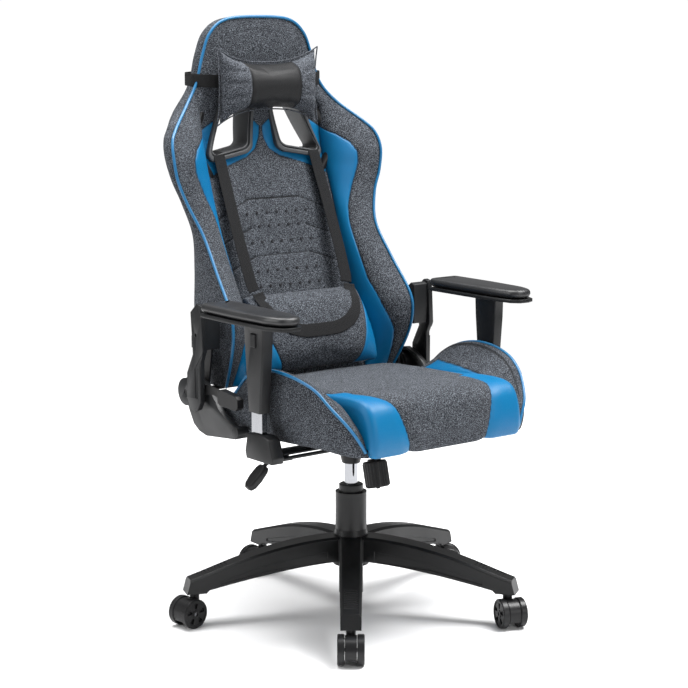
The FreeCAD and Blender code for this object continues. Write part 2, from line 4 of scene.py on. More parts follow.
import bmesh
import bpy
import numpy as np
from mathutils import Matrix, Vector


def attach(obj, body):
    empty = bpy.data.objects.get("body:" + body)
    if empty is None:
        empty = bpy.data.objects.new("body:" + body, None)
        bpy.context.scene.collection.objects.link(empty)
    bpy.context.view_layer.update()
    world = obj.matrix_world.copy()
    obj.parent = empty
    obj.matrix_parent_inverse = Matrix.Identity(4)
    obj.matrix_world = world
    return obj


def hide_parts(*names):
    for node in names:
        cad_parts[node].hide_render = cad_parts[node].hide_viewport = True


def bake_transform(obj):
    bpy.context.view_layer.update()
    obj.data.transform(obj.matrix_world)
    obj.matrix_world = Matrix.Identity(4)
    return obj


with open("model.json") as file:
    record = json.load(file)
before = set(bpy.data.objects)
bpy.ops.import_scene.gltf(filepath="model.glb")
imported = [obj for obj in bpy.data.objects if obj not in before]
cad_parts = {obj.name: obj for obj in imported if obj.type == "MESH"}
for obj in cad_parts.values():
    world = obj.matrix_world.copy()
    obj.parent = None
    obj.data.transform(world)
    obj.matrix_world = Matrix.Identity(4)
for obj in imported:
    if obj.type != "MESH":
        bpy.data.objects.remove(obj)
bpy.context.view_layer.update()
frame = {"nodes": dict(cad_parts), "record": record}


# camera, first of all
cameraSettings = {"place": (-2.398, -3.060, 1.232), "tilt": 80.172, "turn": -37.871, "lens": 101.7}


def makeCamera(settings):
    data = bpy.data.cameras.new("studioCamera")
    data.lens, data.sensor_width, data.clip_end = settings["lens"], 36, 200
    camera = bpy.data.objects.new("studioCamera", data)
    camera.location = settings["place"]
    camera.rotation_euler = (radians(settings["tilt"]), 0, radians(settings["turn"]))
    bpy.context.scene.collection.objects.link(camera)
    bpy.context.scene.camera = camera


makeCamera(cameraSettings)
print("camera set")


# small tools for meshes
def addPiece(name, points, faces, body, smooth=True):
    mesh = bpy.data.meshes.new(name)
    mesh.from_pydata(np.asarray(points, float).reshape(-1, 3).tolist(), [], np.asarray(faces).tolist()
                     if isinstance(faces, np.ndarray) else faces)
    mesh.update()
    piece = bpy.data.objects.new(name, mesh)
    bpy.context.scene.collection.objects.link(piece)
    smoothed(piece, smooth)
    if body:
        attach(piece, body)
    return piece


def gridFaces(rows, columns, loopRows=False, loopColumns=False):
    # quads between neighbouring points of a rows x columns grid, closing round either way if asked
    r = np.arange(rows if loopRows else rows - 1)[:, None]
    c = np.arange(columns if loopColumns else columns - 1)[None, :]
    r2, c2 = (r + 1) % rows, (c + 1) % columns
    quads = np.stack([r * columns + c, r * columns + c2, r2 * columns + c2, r2 * columns + c], axis=-1)
    return quads.reshape(-1, 4)


def runLength(points):
    # distance along a line of points, from its first point to each
    return np.r_[0, np.cumsum(np.linalg.norm(np.diff(points, axis=0), axis=1))]


def readColumns(at, known, table):
    return np.stack([np.interp(at, known, column) for column in np.transpose(table)], axis=1)


def throughPoints(points, count):
    # Catmull-Rom curve: each span is a cubic whose end slopes follow the neighbouring points,
    # then read again at equal steps of its length
    p = np.array(points, float)
    p = np.vstack([2 * p[0] - p[1], p, 2 * p[-1] - p[-2]])
    spans = len(points) - 1
    step = np.linspace(0, spans, spans * 24 + 1)
    i = np.minimum(step.astype(int), spans - 1)
    u = (step - i)[:, None]
    a, b, c, d = p[i], p[i + 1], p[i + 2], p[i + 3]
    fine = 0.5 * (2 * b + (c - a) * u + (2 * a - 5 * b + 4 * c - d) * u ** 2
                  + (3 * b - a - 3 * c + d) * u ** 3)
    length = runLength(fine)
    return readColumns(np.linspace(0, length[-1], count), length, fine)


def readTable(table, at):
    # value of a smooth curve through (position, value) pairs
    fine = throughPoints(table, len(table) * 16)
    return np.interp(at, fine[:, 0], fine[:, 1])


def smoothStep(low, high, value):
    u = np.clip((value - low) / (high - low), 0, 1)
    return u * u * (3 - 2 * u)


def pathSides(path, up, closed=False):
    # two unit vectors square to the path at each of its points, the first as near to 'up' as it can be
    if closed:
        ahead = np.roll(path, -1, axis=0) - np.roll(path, 1, axis=0)
    else:
        ahead = np.gradient(path, axis=0)
    ahead /= np.linalg.norm(ahead, axis=1, keepdims=True) + 1e-12
    up = np.broadcast_to(np.asarray(up, float), path.shape)
    first = up - (up * ahead).sum(axis=1, keepdims=True) * ahead
    first /= np.linalg.norm(first, axis=1, keepdims=True) + 1e-12
    return first, np.cross(ahead, first)


def sweep(name, path, section, up, body, closed=False):
    # a closed section of (across, along 'up') points carried along a path, ends capped
    first, second = pathSides(path, up, closed)
    section = np.asarray(section, float)
    points = path[:, None] + second[:, None] * section[None, :, :1] + first[:, None] * section[None, :, 1:]
    rows, columns = points.shape[:2]
    faces = gridFaces(rows, columns, closed, True)[:, ::-1].tolist()
    if not closed:
        faces.append(list(range(columns)))
        faces.append(list(range(rows * columns - 1, (rows - 1) * columns - 1, -1)))
    piece = addPiece(name, points, faces, body)
    facesOut(piece)
    return piece


def ringSection(radius, count=10):
    turn = np.linspace(0, 2 * np.pi, count, endpoint=False)
    return np.stack([radius * np.cos(turn), radius * np.sin(turn)], axis=1)


def strapSection(width, thickness, count=20, power=5):
    # a flat strap's section: a superellipse, wide and thin with rounded edges
    turn = np.linspace(0, 2 * np.pi, count, endpoint=False)
    x, y = np.cos(turn), np.sin(turn)
    x = np.sign(x) * np.abs(x) ** (2 / power)
    y = np.sign(y) * np.abs(y) ** (2 / power)
    return np.stack([x * width / 2, y * thickness / 2], axis=1)


def smoothed(piece, smooth=True):
    piece.data.polygons.foreach_set("use_smooth", np.full(len(piece.data.polygons), smooth))
    return piece


def pointsOf(piece):
    flat = np.zeros(len(piece.data.vertices) * 3)
    piece.data.vertices.foreach_get("co", flat)
    return flat.reshape(-1, 3)


def facesOut(piece, merge=1e-6):
    # doubled points merged, then every face turned outwards
    work = bmesh.new()
    work.from_mesh(piece.data)
    bmesh.ops.remove_doubles(work, verts=work.verts, dist=merge)
    bmesh.ops.dissolve_degenerate(work, edges=work.edges, dist=merge)
    bmesh.ops.recalc_face_normals(work, faces=work.faces)
    work.to_mesh(piece.data)
    work.free()
    return piece


def setAttribute(piece, name, values):
    attribute = piece.data.attributes.new(name, "FLOAT", "POINT")
    attribute.data.foreach_set("value", np.asarray(values, float).ravel())


def marked(piece, blue, seam):
    # what the panel material reads: how far inside the hide a point lies, and how far from a seam
    setAttribute(piece, "blue", blue)
    setAttribute(piece, "seam", seam)


def modifierApplied(piece, kind, **values):
    modifier = piece.modifiers.new(kind, kind)
    for key, value in values.items():
        setattr(modifier, key, value)
    bpy.context.view_layer.update()
    shaped = piece.evaluated_get(bpy.context.evaluated_depsgraph_get())
    fresh = bpy.data.meshes.new_from_object(shaped)
    piece.modifiers.clear()
    piece.data = fresh
    return piece


def joined(name, pieces, body):
    # several meshes made one piece
    points, faces, start = [], [], 0
    for piece in pieces:
        points.append(pointsOf(piece))
        faces += [[start + v for v in polygon.vertices] for polygon in piece.data.polygons]
        start += len(points[-1])
        bpy.data.objects.remove(piece)
    return addPiece(name, np.vstack(points), faces, body)


def finish(piece, material):
    piece.data.materials.clear()
    piece.data.materials.append(material)
    return piece


def mirrorX(points):
    return np.asarray(points, float) * np.array([-1, 1, 1])


def outlineDistance(outline, x, z):
    # signed distance in a plane to a closed outline, positive inside it
    a = np.array(outline, float)
    b = np.roll(a, -1, axis=0)
    p = np.stack([x.ravel(), z.ravel()], axis=1)[:, None]
    along = b - a
    u = np.clip(((p - a) * along).sum(-1) / ((along ** 2).sum(-1) + 1e-12), 0, 1)
    near = np.linalg.norm(p - a - u[..., None] * along, axis=-1).min(axis=1)
    crosses = (a[:, 1] > p[..., 1]) != (b[:, 1] > p[..., 1])
    height = np.where(np.abs(along[:, 1]) < 1e-9, 1e-9, along[:, 1])
    crosses &= p[..., 0] < a[:, 0] + (p[..., 1] - a[:, 1]) / height * along[:, 0]
    inside = crosses.sum(axis=1) % 2 == 1
    return np.where(inside, near, -near).reshape(x.shape)


def lineDistance(line, x, z):
    # distance in a plane to an open line of points
    a, b = np.array(line[:-1], float), np.array(line[1:], float)
    p = np.stack([x.ravel(), z.ravel()], axis=1)[:, None]
    along = b - a
    u = np.clip(((p - a) * along).sum(-1) / ((along ** 2).sum(-1) + 1e-12), 0, 1)
    return np.linalg.norm(p - a - u[..., None] * along, axis=-1).min(axis=1).reshape(x.shape)


# finishes
class Nodes:
    # short hand for wiring one node tree
    def __init__(self, tree):
        self.tree = tree

    def add(self, kind, settings=None, **inputs):
        node = self.tree.nodes.new(kind)
        for key, value in (settings or {}).items():
            setattr(node, key, value)
        for key, value in inputs.items():
            self.feed(node, key.replace("_", " "), value)
        return node

    def feed(self, node, name, value):
        socket = node.inputs[int(name)] if name.isdigit() else node.inputs[name]
        if isinstance(value, bpy.types.NodeSocket):
            self.tree.links.new(value, socket)
        else:
            socket.default_value = value

    def maths(self, operation, a, b=0.0, c=None):
        node = self.add("ShaderNodeMath", {"operation": operation})
        self.feed(node, "0", a)
        self.feed(node, "1", b)
        if c is not None:
            self.feed(node, "2", c)
        return node.outputs[0]

    def span(self, value, low, high, newLow=0.0, newHigh=1.0, smooth=False):
        node = self.add("ShaderNodeMapRange", {"interpolation_type": "SMOOTHSTEP" if smooth else "LINEAR"})
        for name, number in (("Value", value), ("From Min", low), ("From Max", high), ("To Min", newLow),
                             ("To Max", newHigh)):
            self.feed(node, name, number)
        return node.outputs["Result"]

    def blendColours(self, factor, a, b, mode="MIX"):
        node = self.add("ShaderNodeMix", {"data_type": "RGBA", "blend_type": mode})
        self.feed(node, "0", factor)
        self.feed(node, "6", a)
        self.feed(node, "7", b)
        return node.outputs[2]

    def mixNumbers(self, factor, a, b):
        node = self.add("ShaderNodeMix", {"data_type": "FLOAT"})
        for name, value in (("0", factor), ("2", a), ("3", b)):
            self.feed(node, name, value)
        return node.outputs[0]

    def noise(self, place, scale, detail=2.0, roughness=0.5):
        return self.add("ShaderNodeTexNoise", {}, Vector=place, Scale=scale, Detail=detail,
                        Roughness=roughness).outputs["Fac"]


def newGroup(name, inputs):
    tree = bpy.data.node_groups.new(name, "ShaderNodeTree")
    for socketName, kind, value in inputs:
        socket = tree.interface.new_socket(name=socketName, in_out="INPUT", socket_type=kind)
        socket.default_value = value
    for socketName, kind in (("Color", colour), ("Roughness", number), ("Height", number)):
        tree.interface.new_socket(name=socketName, in_out="OUTPUT", socket_type=kind)
    nodes = Nodes(tree)
    place = nodes.add("ShaderNodeTexCoord").outputs["Object"]
    return nodes, tree.nodes.new("NodeGroupInput").outputs, place


def groupDone(nodes, tint, roughness, height):
    target = nodes.tree.nodes.new("NodeGroupOutput")
    for name, value in (("Color", tint), ("Roughness", roughness), ("Height", height)):
        nodes.tree.links.new(value, target.inputs[name])
    return nodes.tree


number, colour = "NodeSocketFloat", "NodeSocketColor"


def heatherGroup():
    # melange cloth: dark and light fibres mixed at random over a fine square weave
    n, source, place = newGroup("heatherCloth", [
        ("Dark", colour, (0.01, 0.01, 0.012, 1)), ("Middle", colour, (0.05, 0.05, 0.06, 1)),
        ("Light", colour, (0.2, 0.2, 0.22, 1)), ("Fibre", number, 430.0), ("Weave", number, 900.0)])
    fibre = n.noise(place, source["Fibre"], 3.0, 0.62)
    broad = n.noise(place, n.maths("MULTIPLY", source["Fibre"], 0.06), 2.0)
    dark = n.span(fibre, 0.40, 0.50, smooth=True)
    light = n.span(n.maths("ADD", fibre, n.maths("MULTIPLY", n.maths("SUBTRACT", broad, 0.5), 0.04)),
                   0.51, 0.62, smooth=True)
    base = n.blendColours(dark, source["Dark"], source["Middle"])
    base = n.blendColours(light, base, source["Light"])
    base = n.blendColours(0.14, base, n.span(broad, 0.35, 0.65, 0.75, 1.25), "MULTIPLY")
    weave = n.add("ShaderNodeTexVoronoi", {}, Vector=place, Scale=source["Weave"]).outputs["Distance"]
    height = n.maths("ADD", n.maths("MULTIPLY", weave, 0.5), fibre)
    return groupDone(n, base, n.span(fibre, 0.3, 0.7, 0.98, 0.8), height)


def hideGroup():
    # coated hide: closed pebble grain with fine creases and a little change of shade
    n, source, place = newGroup("coatedHide", [
        ("Tint", colour, (0.02, 0.25, 0.6, 1)), ("Deep", colour, (0.0, 0.05, 0.3, 1)),
        ("Grain", number, 520.0), ("Gloss", number, 0.4)])
    cells = n.add("ShaderNodeTexVoronoi", {"feature": "DISTANCE_TO_EDGE"}, Vector=place,
                  Scale=source["Grain"]).outputs["Distance"]
    cloud = n.noise(place, 14.0, 3.0)
    shade = n.span(cloud, 0.35, 0.7)
    tint = n.blendColours(n.maths("MULTIPLY", shade, 0.16), source["Tint"], source["Deep"])
    tint = n.blendColours(n.span(cells, 0.0, 0.12, 0.12, 0.0), tint, source["Deep"])
    rough = n.maths("ADD", source["Gloss"], n.span(cloud, 0.3, 0.7, -0.05, 0.07))
    return groupDone(n, tint, rough, n.span(cells, 0.0, 0.3, 0.0, 1.0, True))


def mouldedGroup():
    # moulded plastic: spark-eroded grain, faint flow clouds, dust in the grain
    n, source, place = newGroup("mouldedGrain", [
        ("Tint", colour, (0.015, 0.015, 0.017, 1)), ("Dust", colour, (0.05, 0.05, 0.052, 1)),
        ("Grain", number, 1100.0), ("Gloss", number, 0.42)])
    grain = n.noise(place, source["Grain"], 2.0, 0.6)
    cloud = n.noise(place, 9.0, 4.0, 0.6)
    tint = n.blendColours(n.span(grain, 0.52, 0.75, 0.0, 0.35), source["Tint"], source["Dust"])
    tint = n.blendColours(n.span(cloud, 0.4, 0.75, 0.0, 0.35), tint, source["Dust"])
    rough = n.maths("ADD", source["Gloss"], n.span(cloud, 0.3, 0.7, -0.06, 0.08))
    return groupDone(n, tint, rough, grain)


def metalGroup():
    # drawn or polished metal: fine scratches along Z and a few broad smears
    n, source, place = newGroup("drawnMetal", [
        ("Tint", colour, (0.6, 0.6, 0.62, 1)), ("Worn", colour, (0.3, 0.3, 0.31, 1)),
        ("Scratch", number, 260.0), ("Gloss", number, 0.2)])
    drawn = n.add("ShaderNodeMapping", {}, Vector=place, Scale=(1, 1, 0.06)).outputs[0]
    scratch = n.noise(drawn, source["Scratch"], 3.0, 0.6)
    smear = n.noise(place, 22.0, 3.0)
    tint = n.blendColours(n.span(smear, 0.45, 0.8, 0.0, 0.5), source["Tint"], source["Worn"])
    rough = n.maths("ADD", source["Gloss"], n.span(scratch, 0.35, 0.7, -0.03, 0.06))
    return groupDone(n, tint, rough, scratch)


def webbingGroup():
    # woven strap: slanted ribs of a twill with lighter thread crowns
    n, source, place = newGroup("wovenStrap", [
        ("Tint", colour, (0.012, 0.012, 0.014, 1)), ("Crown", colour, (0.05, 0.05, 0.055, 1)),
        ("Ribs", number, 420.0)])
    slanted = n.add("ShaderNodeMapping", {}, Vector=place, Rotation=(0.5, 0.9, 0.6)).outputs[0]
    ribs, cross = (n.add("ShaderNodeTexWave", {"bands_direction": axis}, Vector=slanted, Scale=source["Ribs"],
                         Distortion=distortion, Detail=detail).outputs["Fac"]
                   for axis, distortion, detail in (("Z", 1.2, 2.0), ("X", 1.0, 1.0)))
    both = n.maths("MULTIPLY", ribs, cross)
    return groupDone(n, n.blendColours(both, source["Tint"], source["Crown"]),
                     n.span(both, 0.0, 1.0, 0.85, 0.65), both)


groups = {"cloth": heatherGroup(), "hide": hideGroup(), "moulded": mouldedGroup(), "metal": metalGroup(),
          "strap": webbingGroup()}


def placeGroup(nodes, kind, values):
    node = nodes.add("ShaderNodeGroup", {"node_tree": groups[kind]})
    for name, value in values.items():
        node.inputs[name].default_value = value
    return node.outputs


def newMaterial(name, kind, values, bump, constants, edgeRadius=0.0):
    material = bpy.data.materials.new(name)
    material.use_nodes = True
    nodes = Nodes(material.node_tree)
    shader = material.node_tree.nodes["Principled BSDF"]
    out = placeGroup(nodes, kind, values)
    nodes.feed(shader, "Base Color", out["Color"])
    nodes.feed(shader, "Roughness", out["Roughness"])
    relief = nodes.add("ShaderNodeBump", {}, Height=out["Height"], Strength=bump[0], Distance=bump[1])
    if edgeRadius:
        edge = nodes.add("ShaderNodeBevel", {"samples": 6}, Radius=edgeRadius).outputs[0]
        nodes.feed(relief, "Normal", edge)
    nodes.feed(shader, "Normal", relief.outputs[0])
    for socket, value in constants.items():
        shader.inputs[socket].default_value = value
    return material


heather = {"Dark": (0.005, 0.006, 0.008, 1), "Middle": (0.022, 0.025, 0.031, 1),
           "Light": (0.145, 0.16, 0.183, 1), "Fibre": 640.0, "Weave": 1300.0}
heatherPale = dict(heather, Dark=(0.007, 0.008, 0.010, 1), Middle=(0.034, 0.038, 0.046, 1),
                   Light=(0.155, 0.17, 0.195, 1))
heatherBlack = dict(heather, Dark=(0.004, 0.004, 0.005, 1), Middle=(0.016, 0.017, 0.02, 1),
                    Light=(0.045, 0.047, 0.052, 1))
blueHide = {"Tint": (0.0, 0.118, 0.262, 1), "Deep": (0.0, 0.045, 0.19, 1), "Grain": 620.0, "Gloss": 0.36}
sheenCloth = {"Sheen Weight": 0.06, "Sheen Roughness": 0.5, "Specular IOR Level": 0.2}
satin = {"Specular IOR Level": 0.28}
glossy = {"Specular IOR Level": 0.5}


def panelMaterial(name, cloth, hide):
    # one skin of cloth and coated hide, told apart by the piece's 'blue' attribute, with painted shade
    # darkening its seams
    material = bpy.data.materials.new(name)
    material.use_nodes = True
    n = Nodes(material.node_tree)
    shader = material.node_tree.nodes["Principled BSDF"]
    woven, coated = placeGroup(n, "cloth", cloth), placeGroup(n, "hide", hide)
    inside = n.add("ShaderNodeAttribute", {"attribute_name": "blue"}).outputs["Fac"]
    seam = n.add("ShaderNodeAttribute", {"attribute_name": "seam"}).outputs["Fac"]
    isHide = n.span(inside, -0.0006, 0.0006)
    # painted shade: the base colour is darkened to 0.28 along the seam grooves
    dark = n.span(seam, 0.0006, 0.0026, 0.28, 1.0, True)
    tint = n.blendColours(isHide, woven["Color"], coated["Color"])
    n.feed(shader, "Base Color", n.blendColours(1.0, tint, dark, "MULTIPLY"))
    n.feed(shader, "Roughness", n.mixNumbers(isHide, woven["Roughness"], coated["Roughness"]))
    clothRelief = n.add("ShaderNodeBump", {}, Height=woven["Height"], Strength=0.5, Distance=0.0009)
    height = n.mixNumbers(isHide, woven["Height"], n.maths("MULTIPLY", coated["Height"], 0.25))
    groove = n.span(seam, 0.0, 0.0035, -2.5, 0.0, True)
    n.feed(clothRelief, "Height", n.maths("ADD", height, groove))
    n.feed(shader, "Normal", clothRelief.outputs[0])
    shader.inputs["Specular IOR Level"].default_value = 0.27
    return material


# slot: name, tint, dust, grain, gloss, (bump strength, depth), rounded edge
plastics = {
    "base_plastic": ("basePlastic", (0.005, 0.0052, 0.0056), (0.014, 0.0145, 0.015), 900.0, 0.38,
                     (0.12, 0.0004), 0.0018),
    "column_plastic": ("columnPlastic", (0.006, 0.006, 0.0065), (0.015, 0.015, 0.0155), 1300.0, 0.36,
                       (0.08, 0.0003), 0.001),
    "castor_plastic": ("castorPlastic", (0.005, 0.005, 0.0055), (0.018, 0.018, 0.019), 1400.0, 0.34,
                       (0.08, 0.0003), 0.0009),
    "black_steel": ("powderBlackSteel", (0.006, 0.006, 0.0065), (0.018, 0.018, 0.0185), 700.0, 0.4,
                    (0.18, 0.0004), 0.0009),
    "cover_plastic": ("hingePlastic", (0.0075, 0.008, 0.0088), (0.018, 0.019, 0.021), 1000.0, 0.4,
                      (0.12, 0.0004), 0.0016),
    "arm_plastic": ("armPlastic", (0.006, 0.0063, 0.007), (0.015, 0.0155, 0.017), 1000.0, 0.42,
                    (0.12, 0.0004), 0.0014),
    "knob_plastic": ("knobPlastic", (0.006, 0.006, 0.0065), (0.018, 0.018, 0.019), 1300.0, 0.4, (0.1, 0.0003),
                     0.0008),
    "bezel_plastic": ("bezelPlastic", (0.036, 0.038, 0.041), (0.07, 0.072, 0.076), 900.0, 0.48,
                      (0.35, 0.0006), 0.0012),
}
looks = {slot: newMaterial(name, "moulded", {"Tint": (*tint, 1), "Dust": (*dust, 1), "Grain": grain,
                                             "Gloss": gloss}, bump,
                           glossy if slot == "bezel_plastic" else satin, edge)
         for slot, (name, tint, dust, grain, gloss, bump, edge) in plastics.items()}
looks.update({
    "steel": newMaterial("darkSteel", "metal", {"Tint": (0.24, 0.24, 0.25, 1), "Worn": (0.12, 0.12, 0.125, 1),
                         "Gloss": 0.32}, (0.1, 0.0002), {"Metallic": 1.0}, 0.0006),
    "chrome": newMaterial("brightChrome", "metal", {"Tint": (0.30, 0.305, 0.32, 1),
                          "Worn": (0.19, 0.195, 0.205, 1), "Gloss": 0.09}, (0.02, 0.0001),
                          {"Metallic": 1.0}, 0.0005),
    "arm_pad_pu": newMaterial("armPadSkin", "hide", {"Tint": (0.011, 0.0113, 0.0125, 1),
                              "Deep": (0.006, 0.006, 0.007, 1), "Grain": 700.0, "Gloss": 0.4},
                              (0.12, 0.0004), glossy, 0.002),
    "grey_fabric": newMaterial("heatherFabric", "cloth", heather, (0.5, 0.0009), sheenCloth),
    "pillow_fabric": newMaterial("blackPillowCloth", "cloth", heatherBlack, (0.4, 0.0007), sheenCloth),
    "blue_pu": newMaterial("blueHide", "hide", blueHide, (0.12, 0.0004), {"Coat Weight": 0.08,
                           "Coat Roughness": 0.3}),
    "black_webbing": newMaterial("blackWebbing", "strap", {"Tint": (0.002, 0.002, 0.0025, 1),
                                 "Crown": (0.010, 0.0105, 0.012, 1), "Ribs": 330.0}, (0.6, 0.0007), satin),
})
panelSkin = panelMaterial("panelSkin", heather, blueHide)
clothWelt = newMaterial("paleClothWelt", "cloth", heatherPale, (0.5, 0.0006), sheenCloth)
# near-black thread colour, also used as the painted shade of the punched holes
threadAndHoleShade = newMaterial("darkThreadAndHoleShade", "strap", {"Tint": (0.006, 0.006, 0.008, 1),
                         "Crown": (0.03, 0.032, 0.038, 1), "Ribs": 900.0}, (0.3, 0.0002), satin)
print("finishes made")

slotOf = {row["node"]: row["material_slot"] for row in frame["record"]["subparts"]}
for nodeName, nodeObject in frame["nodes"].items():
    nodeObject.data.materials.clear()
    nodeObject.data.materials.append(looks[slotOf[nodeName]])
print("frame parts finished")


# back: one padded shell with its blue panels, quilting, piping and openings
backShape = {
    "rows": 210, "centreColumns": 46, "bolsterColumns": 34, "bandColumns": 12, "rearColumns": 40,
    "centreHalf": 0.155, "centreTop": 1.150, "grooveDepth": 0.0018, "grooveWidth": 0.0032, "crown": 0.009,
    # outer piping from the bottom of the wing up to the middle of the crown: x, y, z
    "outline": [(0.216, 0.132, 0.474), (0.226, 0.098, 0.540), (0.230, 0.085, 0.590), (0.230, 0.095, 0.635),
                (0.224, 0.150, 0.706), (0.221, 0.200, 0.775), (0.240, 0.228, 0.838), (0.258, 0.234, 0.885),
                (0.265, 0.238, 0.930), (0.260, 0.250, 0.963), (0.243, 0.265, 0.986), (0.190, 0.303, 1.034),
                (0.156, 0.318, 1.078), (0.138, 0.321, 1.135), (0.118, 0.322, 1.180), (0.078, 0.322, 1.207),
                (0.0, 0.322, 1.2125)],
    "front": [(0.470, 0.146), (0.492, 0.153), (0.600, 0.187), (0.660, 0.206), (0.750, 0.236), (0.820, 0.258),
              (0.880, 0.281), (0.930, 0.302), (1.000, 0.315), (1.080, 0.320), (1.150, 0.322), (1.230, 0.323)],
    "rear": [(0.470, 0.200), (0.492, 0.205), (0.600, 0.240), (0.750, 0.286), (0.880, 0.330), (1.000, 0.362),
             (1.120, 0.372), (1.180, 0.368), (1.230, 0.352)],
    "edgeRear": [(0.470, 0.218), (0.492, 0.220), (0.553, 0.222), (0.600, 0.224), (0.649, 0.227),
                 (0.706, 0.232), (0.784, 0.243), (0.850, 0.252), (0.900, 0.262), (0.955, 0.280),
                 (0.985, 0.298), (1.011, 0.326), (1.036, 0.341), (1.107, 0.352), (1.180, 0.354),
                 (1.230, 0.350)],
    # bolster seam as (z, share of the bolster's turn)
    "bolsterSeam": [(0.470, 0.86), (0.554, 0.72), (0.608, 0.50), (0.662, 0.38), (0.718, 0.40), (0.774, 0.41),
                    (0.810, 0.46), (0.845, 0.57), (0.872, 0.625), (0.900, 0.677), (0.924, 0.672),
                    (0.946, 0.590), (0.963, 0.410)],
    "shoulderSeam": [(0.155, 0.880), (0.121, 0.896), (0.097, 0.905), (0.043, 0.921), (0.018, 0.937),
                     (0.006, 0.960), (0.003, 0.985), (0.020, 0.999), (0.060, 1.004), (0.123, 0.998),
                     (0.152, 0.981)],
    "stitches": [[(0.0, 0.836), (0.064, 0.836), (0.104, 0.821), (0.154, 0.798)],
                 [(0.069, 0.778), (0.104, 0.766), (0.154, 0.749)],
                 [(0.0, 0.721), (0.068, 0.721), (0.108, 0.708), (0.154, 0.690)]],
    "foldLine": [(0.1555, 1.045), (0.1545, 0.99), (0.155, 0.88), (0.155, 0.47)],
}


def backFrontY(z):
    return readTable(backShape["front"], z)


def backOutline(count):
    half = backShape["outline"]
    whole = half + [(-x, y, z) for x, y, z in half[-2::-1]]
    return throughPoints(whole, 2 * count - 1)[:count]


def backCentreZ(edge, steps):
    # follows the edge's height to the shoulders, then climbs more slowly up to the crown's middle
    turn = int(np.argmax(edge[:, 2] > 0.90))
    u = np.clip((steps - steps[turn]) / (1 - steps[turn]), 0, 1)
    high = edge[turn, 2] + (backShape["centreTop"] - edge[turn, 2]) * (1 - (1 - u) ** 1.25)
    return np.where(steps < steps[turn], edge[:, 2], high)


def backGrid():
    # half the skin: row by row up the piping, column by column from the middle of the front over the
    # bolster's quarter ellipse, the side band and the rear back to the middle
    s = backShape
    edge = backOutline(s["rows"])
    steps = np.linspace(0, 1, s["rows"])
    centreZ = backCentreZ(edge, steps)
    ex, ey, ez = (edge[:, k][:, None] for k in range(3))
    inner = np.minimum(s["centreHalf"], 0.80 * ex)
    # front, flat middle
    share = np.linspace(0, 1, s["centreColumns"], endpoint=False)[None]
    turn = np.linspace(0, np.pi / 2, s["bolsterColumns"])[None]
    x = np.hstack([inner * share, inner + (ex - inner) * (1 - np.cos(turn))])
    across = np.where(ex > 1e-6, x / np.maximum(ex, 1e-6), np.linspace(0, 1, x.shape[1])[None])
    z = centreZ[:, None] + (ez - centreZ[:, None]) * across ** 2
    rise = ey - backFrontY(ez)
    y = backFrontY(z)
    y[:, s["centreColumns"]:] += rise * np.sin(turn)
    head = smoothStep(0.93, 1.06, z)
    y -= s["crown"] * (1 - across ** 4) * head
    y += 0.002 * (1 - (x / s["centreHalf"]).clip(0, 1) ** 2) * (1 - head)        # slightly dished middle
    # quilting grooves
    w = np.hstack([x[:, :s["centreColumns"]],
                   np.broadcast_to(inner + 0.1 * turn / (np.pi / 2), (s["rows"], s["bolsterColumns"]))])
    seamLine = [(s["centreHalf"] + 0.1 * share, level) for level, share in s["bolsterSeam"]]
    panel = s["shoulderSeam"] + seamLine[::-1] + [(s["centreHalf"], 0.470)]
    blue = outlineDistance(panel, w, z)
    lowMiddle = (w < s["centreHalf"] - 1e-6) & (z < 0.8805)
    blue = np.where(lowMiddle, -np.abs(w - s["centreHalf"]), blue)
    stitch = np.min([lineDistance(line, w, z) for line in s["stitches"] + [s["foldLine"]]], axis=0)
    seam = np.minimum(np.abs(blue), stitch)
    groove = s["grooveDepth"] * np.exp(-(seam / s["grooveWidth"]) ** 2)
    y += groove
    front = np.stack([x, y, z], axis=-1)
    # side band and rear
    rearEdge = readTable(s["edgeRear"], ez)
    band = np.linspace(0, 1, s["bandColumns"] + 1)[None, 1:]
    swell = 0.006 * np.sin(np.pi * band)
    bandPoints = np.stack([ex + swell * (ex > 0.02), ey + (rearEdge - ey) * band,
                           ez + swell * 0.15 * (ez > 1.1)], axis=-1)
    back = np.linspace(0, 1, s["rearColumns"] + 1)[None, 1:]
    rearX = ex * np.cos(back * np.pi / 2)
    rearZ = ez + (centreZ[:, None] - ez) * back ** 1.5
    centreRear = readTable(s["rear"], rearZ)
    rearY = rearEdge + (centreRear - rearEdge) * np.sin(back * np.pi / 2) ** 1.2
    rearPoints = np.stack([rearX, rearY, rearZ], axis=-1)
    rearPoints[:, -1, 0] = 0
    grid = np.concatenate([front, bandPoints, rearPoints], axis=1)
    far = grid.shape[1] - front.shape[1]
    blue = np.hstack([blue, np.full((s["rows"], far), -0.02)])
    seam = np.hstack([seam, np.full((s["rows"], far), 0.02)])
    # seams of the rear panel, set in from the edge
    columns = np.arange(grid.shape[1])[None] - front.shape[1] - s["bandColumns"]
    seam = np.where(columns >= 0, np.minimum(seam, np.abs(columns - 3.0) * 0.004), seam)
    grid[-1, :, 0] = 0
    return grid, blue, seam


def mirroredShell(name, grid, body, marks, closeStart=True):
    # a half grid and its mirror image made one closed mesh, its first row closed by one face
    rows, columns = grid.shape[:2]
    faces = gridFaces(rows, columns)
    both = np.concatenate([grid.reshape(-1, 3), mirrorX(grid.reshape(-1, 3))])
    allFaces = np.vstack([faces, faces[:, ::-1] + rows * columns]).tolist()
    if closeStart:
        loop = list(range(columns)) + [rows * columns + i for i in range(columns - 2, 0, -1)]
        allFaces.append(loop[::-1])
    piece = addPiece(name, both, allFaces, body)
    for key, values in marks.items():
        setAttribute(piece, key, np.concatenate([values.ravel(), values.ravel()]))
    return facesOut(piece)


backPoints, backBlue, backSeam = backGrid()
backSkin = mirroredShell("backUpholstery", backPoints, "backrest", {"blue": backBlue, "seam": backSeam})

